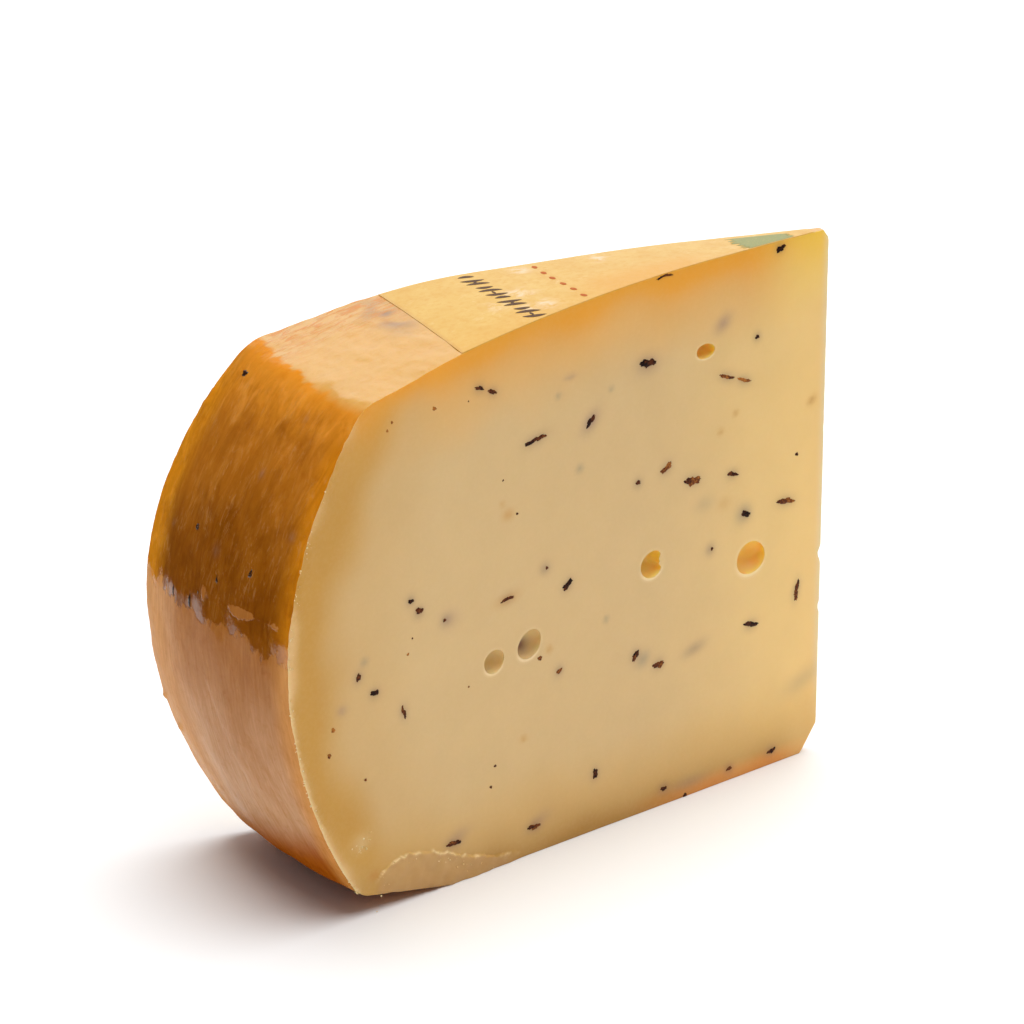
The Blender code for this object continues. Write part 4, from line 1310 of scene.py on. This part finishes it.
def mixed(tree, share, first, second, blend_type="MIX"):
    """The first colour, run towards the second or multiplied by it, by a share."""
    inputs = {0: share, 6: first, 7: second}
    return node(tree, "Mix", inputs, data_type="RGBA", blend_type=blend_type).outputs[2]


def layered(tree, colour, layers, blend_type="MULTIPLY", mask=None):
    """Adds colours by a grain: each layer's grain, where it starts and is full, strength and colour."""
    for grain, start, full, strength, second in layers:
        share = ranged(tree, grain, start, full, 0.0, strength)
        if mask is not None:
            share = product(tree, share, mask)
        colour = mixed(tree, share, colour, four(second), blend_type)
    return colour


def bumped(tree, layers):
    """Relief from several grains, one over the other: each one's grain, strength and depth."""
    normal = {}
    for grain, strength, depth in layers:
        made = node(tree, "Bump", {"Height": grain, "Strength": strength, "Distance": depth, **normal})
        normal = {"Normal": made.outputs["Normal"]}
    return normal["Normal"]


def four(colour):
    return (*colour, 1.0)


def paste_material():
    """Semi-hard paste: a smooth, slightly waxy skin with faint mottling, knife marks and a crumbly edge."""
    tree, shader, made = new_material("paste")
    place = place_on(tree)
    cloudy = noise_of(tree, place, 130.0, 3.0, 0.55)
    fine = noise_of(tree, place, 1500.0, 2.0, 0.6)
    knife = streaks_of(tree, place, 30.0, 30.0, 2.0, 0.6, z=700.0)
    crumb = noise_of(tree, place, 1100.0, 3.0, 0.7)
    tint, in_eye = attribute(tree, "paste_tint", "Color"), attribute(tree, "in_eye")
    lighter = mixed(tree, 1.0, tint, (1.02, 1.02, 1.03, 1.0), "MULTIPLY")
    darker = mixed(tree, 1.0, tint, (0.985, 0.98, 0.97, 1.0), "MULTIPLY")
    colour = mixed(tree, ranged(tree, cloudy, 0.3, 0.7), darker, lighter)
    put_all(tree, shader, {
        "Base Color": layered(tree, colour, [(fine, 0.40, 0.80, 0.04, PASTE_GRAIN)], "MIX"),
        "Roughness": ranged(tree, cloudy, 0.2, 0.8, 0.36, 0.52),
        "Specular IOR Level": 0.35,
        "Subsurface Weight": ranged(tree, in_eye, 0.0, 1.0, 0.18, 0.90),
        "Subsurface Radius": (1.0, 0.55, 0.22),
        "Subsurface Scale": ranged(tree, in_eye, 0.0, 1.0, 0.0020, 0.0045),
        "Normal": bumped(tree, [
            (knife, 0.06, 0.00006), (fine, 0.06, 0.00004),
            (product(tree, crumb, attribute(tree, "crumbly")), 0.55, 0.0005)]),
    })
    return made


def rind_material():
    """Glossy amber wax over the rind, and a less glossy coat below the waist with an uneven edge, whose paler
    colour is painted reflection of the table.
    """
    tree, shader, made = new_material("rind")
    flat, streaky = attribute(tree, "unrolled", "Vector"), attribute(tree, "streaky")
    streaks = streaks_of(tree, flat, 520.0, 130.0, 4.0, 0.6, 1.6)
    broad = streaks_of(tree, flat, 190.0, 90.0, 4.0, 0.6, 1.6)
    hairs = streaks_of(tree, flat, 1500.0, 150.0, 2.0, 0.6, 0.5)
    cloudy = noise_of(tree, flat, 120.0, 4.0, 0.6)
    ragged = streaks_of(tree, flat, 420.0, 260.0, 5.0, 0.65)
    strands = streaks_of(tree, flat, 900.0, 270.0, 3.0, 0.6, 2.4)
    mottle = noise_of(tree, flat, 620.0, 4.0, 0.65, 0.6)
    folds = streaks_of(tree, flat, 1000.0, 260.0, 4.0, 0.65, 0.8)
    gap = total(tree, product(tree, attribute(tree, "coat_and_reflection_gap"), 1000.0),
                ranged(tree, ragged, 0.25, 0.75, -2.4, 2.4))
    # Below the coat's edge: a less glossy coat, and painted reflection in its colour
    dull_coat_and_reflection = ranged(tree, gap, 0.35, -0.35)
    amber = layered(tree, attribute(tree, "amber_tint", "Color"), [
        (broad, 0.48, 0.70, 0.75, (1.24, 1.40, 2.60)),
        (streaks, 0.46, 0.66, 0.60, (1.18, 1.24, 1.60)),
        (streaks, 0.48, 0.30, 0.60, (0.84, 0.78, 0.60)),
        (cloudy, 0.50, 0.70, 0.85, (0.72, 0.66, 0.50))], mask=streaky)
    strand = product(tree, ranged(tree, strands, 0.52, 0.68), ranged(tree, broad, 0.42, 0.60, 0.0, 0.34))
    amber = mixed(tree, product(tree, strand, streaky), amber, (0.58, 0.285, 0.100, 1.0))
    amber = layered(tree, amber, [(mottle, 0.50, 0.68, 0.60, (0.92, 0.84, 0.62))])
    fold = product(tree, ranged(tree, folds, 0.47, 0.60), attribute(tree, "wrinkled"))
    amber = mixed(tree, product(tree, fold, 0.85), amber, (0.62, 0.205, 0.018, 1.0))
    # The lower coat's colour: painted reflection of the table, and painted shade by the foot
    reflection_and_shade = layered(tree, attribute(tree, "reflection_and_shade_tint", "Color"), [
        (broad, 0.46, 0.70, 0.70, (0.88, 0.80, 0.66)),
        (streaks, 0.46, 0.68, 0.60, (1.12, 1.18, 1.36)),
        (hairs, 0.50, 0.66, 0.55, (0.90, 0.83, 0.70)),
        (hairs, 0.46, 0.34, 0.55, (1.10, 1.14, 1.22)),
        (mottle, 0.52, 0.68, 0.60, (0.90, 0.82, 0.66))])
    normal = bumped(tree, [
        (streaks, 0.22, 0.00016), (noise_of(tree, place_on(tree), 420.0, 4.0, 0.6), 0.24, 0.00020),
        (fold, 0.30, 0.00012), (dull_coat_and_reflection, 0.4, 0.00008)])
    put_all(tree, shader, {
        "Base Color": mixed(tree, dull_coat_and_reflection, amber, reflection_and_shade),
        "Roughness": ranged(tree, dull_coat_and_reflection, 0.0, 1.0, 0.35, 0.45),
        "Specular IOR Level": 0.0,
        "Coat Weight": product(tree, ranged(tree, dull_coat_and_reflection, 0.0, 1.0, 0.85, 0.25), attribute(tree, "shine")),
        "Coat Roughness": 0.08,
        "Subsurface Weight": 0.12,
        "Subsurface Radius": (1.0, 0.4, 0.1),
        "Subsurface Scale": 0.0015,
        "Normal": normal,
        "Coat Normal": normal,
    })
    return made


def truffle_material():
    """Dry truffle, from black to brown by each lump's own tone."""
    tree, shader, made = new_material("truffle")
    grain = noise_of(tree, place_on(tree), 2600.0, 3.0, 0.7)
    tone = total(tree, attribute(tree, "brown"), ranged(tree, grain, 0.3, 0.7, -0.34, 0.34))
    ramp = node(tree, "ValToRGB", {"Fac": tone})
    ramp.color_ramp.elements[0].color = four(screen(30, 18, 14))
    ramp.color_ramp.elements[1].color = four(screen(192, 120, 54))
    middle = ramp.color_ramp.elements.new(0.45)
    middle.color = four(screen(104, 54, 28))
    put_all(tree, shader, {
        "Base Color": ramp.outputs["Color"],
        "Roughness": ranged(tree, grain, 0.3, 0.7, 0.45, 0.75),
        "Specular IOR Level": 0.12,
        "Normal": bumped(tree, [(grain, 0.5, 0.0001)]),
    })
    return made


def speck_material():
    """Truffle under the rim's wax, so it shines as the wax does."""
    tree, shader, made = new_material("rim_speck")
    grain = noise_of(tree, place_on(tree), 1800.0, 3.0, 0.7)
    dark, brown = four(screen(34, 22, 16)), four(screen(98, 58, 22))
    put_all(tree, shader, {
        "Base Color": mixed(tree, ranged(tree, grain, 0.4, 0.7), dark, brown),
        "Roughness": ranged(tree, grain, 0.3, 0.7, 0.25, 0.5),
        "Coat Weight": 0.6,
        "Coat Roughness": 0.1,
    })
    return made


def crumb_material():
    """Loose bits of paste."""
    tree, shader, made = new_material("crumb")
    grain = noise_of(tree, place_on(tree), 900.0, 3.0, 0.6)
    pale, warm = four(screen(243, 222, 172, 0.9)), four(screen(222, 178, 106, 0.9))
    put_all(tree, shader, {
        "Base Color": mixed(tree, ranged(tree, grain, 0.35, 0.65), pale, warm),
        "Roughness": ranged(tree, grain, 0.3, 0.7, 0.45, 0.65),
        "Subsurface Weight": 0.3,
        "Subsurface Radius": (1.0, 0.6, 0.3),
        "Subsurface Scale": 0.0008,
    })
    return made


def label_material():
    """Straw-yellow paper soaked with wax: mottled, glossy, with a brown line along its outer edge, and
    painted warmer colour towards the front cut where it reflects less light.
    """
    tree, shader, made = new_material("label")
    place = place_on(tree)
    fibres = noise_of(tree, place, 900.0, 4.0, 0.7)
    cloudy = noise_of(tree, place, 210.0, 3.0, 0.6)
    scuffs = streaks_of(tree, place, 260.0, 420.0, 4.0, 0.7, 0.6)
    colour = mixed(tree, ranged(tree, cloudy, 0.35, 0.7), (0.67, 0.375, 0.045, 1.0), (0.71, 0.44, 0.085, 1.0))
    colour = layered(tree, colour, [
        (fibres, 0.48, 0.70, 0.60, (0.64, 0.31, 0.028)),
        (scuffs, 0.60, 0.72, 0.45, (0.80, 0.58, 0.24))], "MIX")
    # Painted: warmer where the label reflects less light
    colour = mixed(tree, attribute(tree, "warm"), colour, (0.69, 0.33, 0.016, 1.0))
    scuff = product(tree, attribute(tree, "scuffed"), ranged(tree, scuffs, 0.42, 0.58, 0.0, 0.8))
    colour = mixed(tree, scuff, colour, (0.84, 0.66, 0.46, 1.0))
    line = product(tree, ranged(tree, attribute(tree, "to_edge"), 0.75, 0.15), 0.35)
    normal = bumped(tree, [(fibres, 0.25, 0.00006)])
    put_all(tree, shader, {
        "Base Color": mixed(tree, line, colour, (0.50, 0.22, 0.05, 1.0)),
        "Roughness": ranged(tree, fibres, 0.3, 0.7, 0.35, 0.50),
        "Specular IOR Level": 0.12,
        "Coat Weight": 0.6,
        "Coat Roughness": 0.10,
        "Normal": normal,
        "Coat Normal": normal,
    })
    return made


def ink_material(name, colour, show_through, gloss):
    """Print on the label, thinned by wear in spots."""
    tree, shader, made = new_material(name)
    wear_and_sheen = noise_of(tree, place_on(tree), 2300.0, 3.0, 0.7)
    wear = ranged(tree, wear_and_sheen, 0.55, 0.75, 0.0, show_through)
    put_all(tree, shader, {
        "Base Color": mixed(tree, wear, four(colour), (0.86, 0.55, 0.2, 1.0)),
        "Roughness": ranged(tree, wear_and_sheen, 0.3, 0.7, 0.3, 0.45),
        "Specular IOR Level": 0.6 * gloss,
        "Coat Weight": gloss,
        "Coat Roughness": 0.20,
    })
    return made


# The studio

def linked(name, data):
    """An object in the scene that shows this mesh, lamp or camera."""
    made = bpy.data.objects.new(name, data)
    bpy.context.scene.collection.objects.link(made)
    return made


def floor():
    """A white table top, and a white ground beyond it that shiny surfaces don't mirror."""
    tree, shader, finish = new_material("floor")
    white = (0.93, 0.93, 0.93, 1.0)
    put_all(tree, shader, {"Base Color": white, "Roughness": 0.6, "Specular IOR Level": 0.2})
    rim = [(TABLE_RADIUS * math.cos(angle), TABLE_RADIUS * math.sin(angle), FLOOR_HEIGHT)
           for angle in spaced(0, 2 * math.pi, FLOOR_SIDES)[:-1]]
    far = [(x * GROUND_SIZE, y * GROUND_SIZE, FLOOR_HEIGHT) for x, y, _ in rim]
    ring = band_faces(0, FLOOR_SIDES, FLOOR_SIDES)
    for name, points, faces in (("table", rim, [tuple(range(FLOOR_SIDES))]), ("ground", rim + far, ring)):
        mesh = bpy.data.meshes.new(name)
        mesh.from_pydata(points, [], faces)
        mesh.materials.append(finish)
        made = linked(name, mesh)
        made.visible_glossy = name == "table"


def aimed(name, data, place, target):
    """A lamp at a place, turned to a target."""
    back = (Vector(place) - Vector(target)).to_track_quat("Z", "Y")
    linked(name, data).matrix_world = Matrix.Translation(place) @ back.to_matrix().to_4x4()


def sun(name, direction, strength, spread_degrees):
    data = bpy.data.lights.new(name, "SUN")
    data.energy = strength
    data.angle = math.radians(spread_degrees)
    aimed(name, data, Vector(direction).normalized() * 2, (0, 0, 0))


def panel(name, place, target, width, tall, radiance):
    data = bpy.data.lights.new(name, "AREA")
    data.shape = "RECTANGLE"
    data.size, data.size_y = width, tall
    data.energy = radiance * math.pi * width * tall
    aimed(name, data, place, target)


def lights():
    """Soft light from above and behind, and a white world that shiny surfaces mirror only faintly."""
    world = bpy.data.worlds.new("studio")
    world.use_nodes = True
    tree = world.node_tree
    mirrored = node(tree, "LightPath", {}).outputs["Is Glossy Ray"]
    strength = ranged(tree, mirrored, 0.0, 1.0, WORLD_LIGHT, WORLD_MIRRORED)
    put_all(tree, tree.nodes["Background"], {"Color": (1.0, 1.0, 1.0, 1.0), "Strength": strength})
    bpy.context.scene.world = world
    sun("key", (0.18, -0.06, 1.0), 3.0, 70)
    panel("back_panel", (0.75, 1.15, 0.55), (0, 0, 0.07), 1.3, 1.1, 1.0)
    panel("top_panel", (0.1, 0.4, 1.5), (0, 0, 0.0), 1.2, 1.0, 1.4)
    bpy.context.scene.view_settings.view_transform = "Standard"


def camera():
    made = bpy.data.cameras.new("camera")
    made.lens = CAMERA_LENS
    made.sensor_width = SENSOR
    made.clip_start = 0.01
    holder = linked("camera", made)
    forward = Vector((math.sin(CAMERA_YAW) * math.cos(CAMERA_PITCH),
                      math.cos(CAMERA_YAW) * math.cos(CAMERA_PITCH), -math.sin(CAMERA_PITCH)))
    right = Vector((math.cos(CAMERA_YAW), -math.sin(CAMERA_YAW), 0.0))
    up = right.cross(forward)
    turned_right = right * math.cos(CAMERA_ROLL) + up * math.sin(CAMERA_ROLL)
    turned_up = up * math.cos(CAMERA_ROLL) - right * math.sin(CAMERA_ROLL)
    axes = Matrix((turned_right, turned_up, -forward)).transposed().to_4x4()
    holder.matrix_world = Matrix.Translation(CAMERA_PLACE) @ axes
    bpy.context.scene.camera = holder


def dress():
    """Makes every piece, gives it its finish, hides the frame's matching parts and hangs every piece under
    the root's empty.
    """
    body = cheese_body()
    body.data.materials.append(paste_material())
    body.data.materials.append(rind_material())
    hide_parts("cheese_wedge")
    label = label_sheet()
    label.data.materials.append(label_material())
    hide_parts("rind_label")
    dark_ink = ink_material("dark_ink", (0.110, 0.060, 0.036), 0.15, 0.04)
    red_ink = ink_material("red_ink", (0.47, 0.115, 0.020), 0.20, 0.04)
    green_ink = ink_material("green_ink", (0.26, 0.27, 0.075), 0.50, 0.25)
    extras = {
        truffle_flakes(): (truffle_material(), "cheese"),
        rim_specks(): (speck_material(), "cheese"),
        crumbs(): (crumb_material(), "cheese"),
        print_plates("label_band", band_leaves()): (dark_ink, "label"),
        print_plates("label_dots", dot_shapes()): (red_ink, "label"),
        print_plates("label_ring", ring_shape()): (green_ink, "label"),
    }
    for piece, (finish, slot) in extras.items():
        piece.data.materials.append(finish)
    for piece in [body, label] + list(extras):
        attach(piece, "root")


camera()
dress()
floor()
lights()
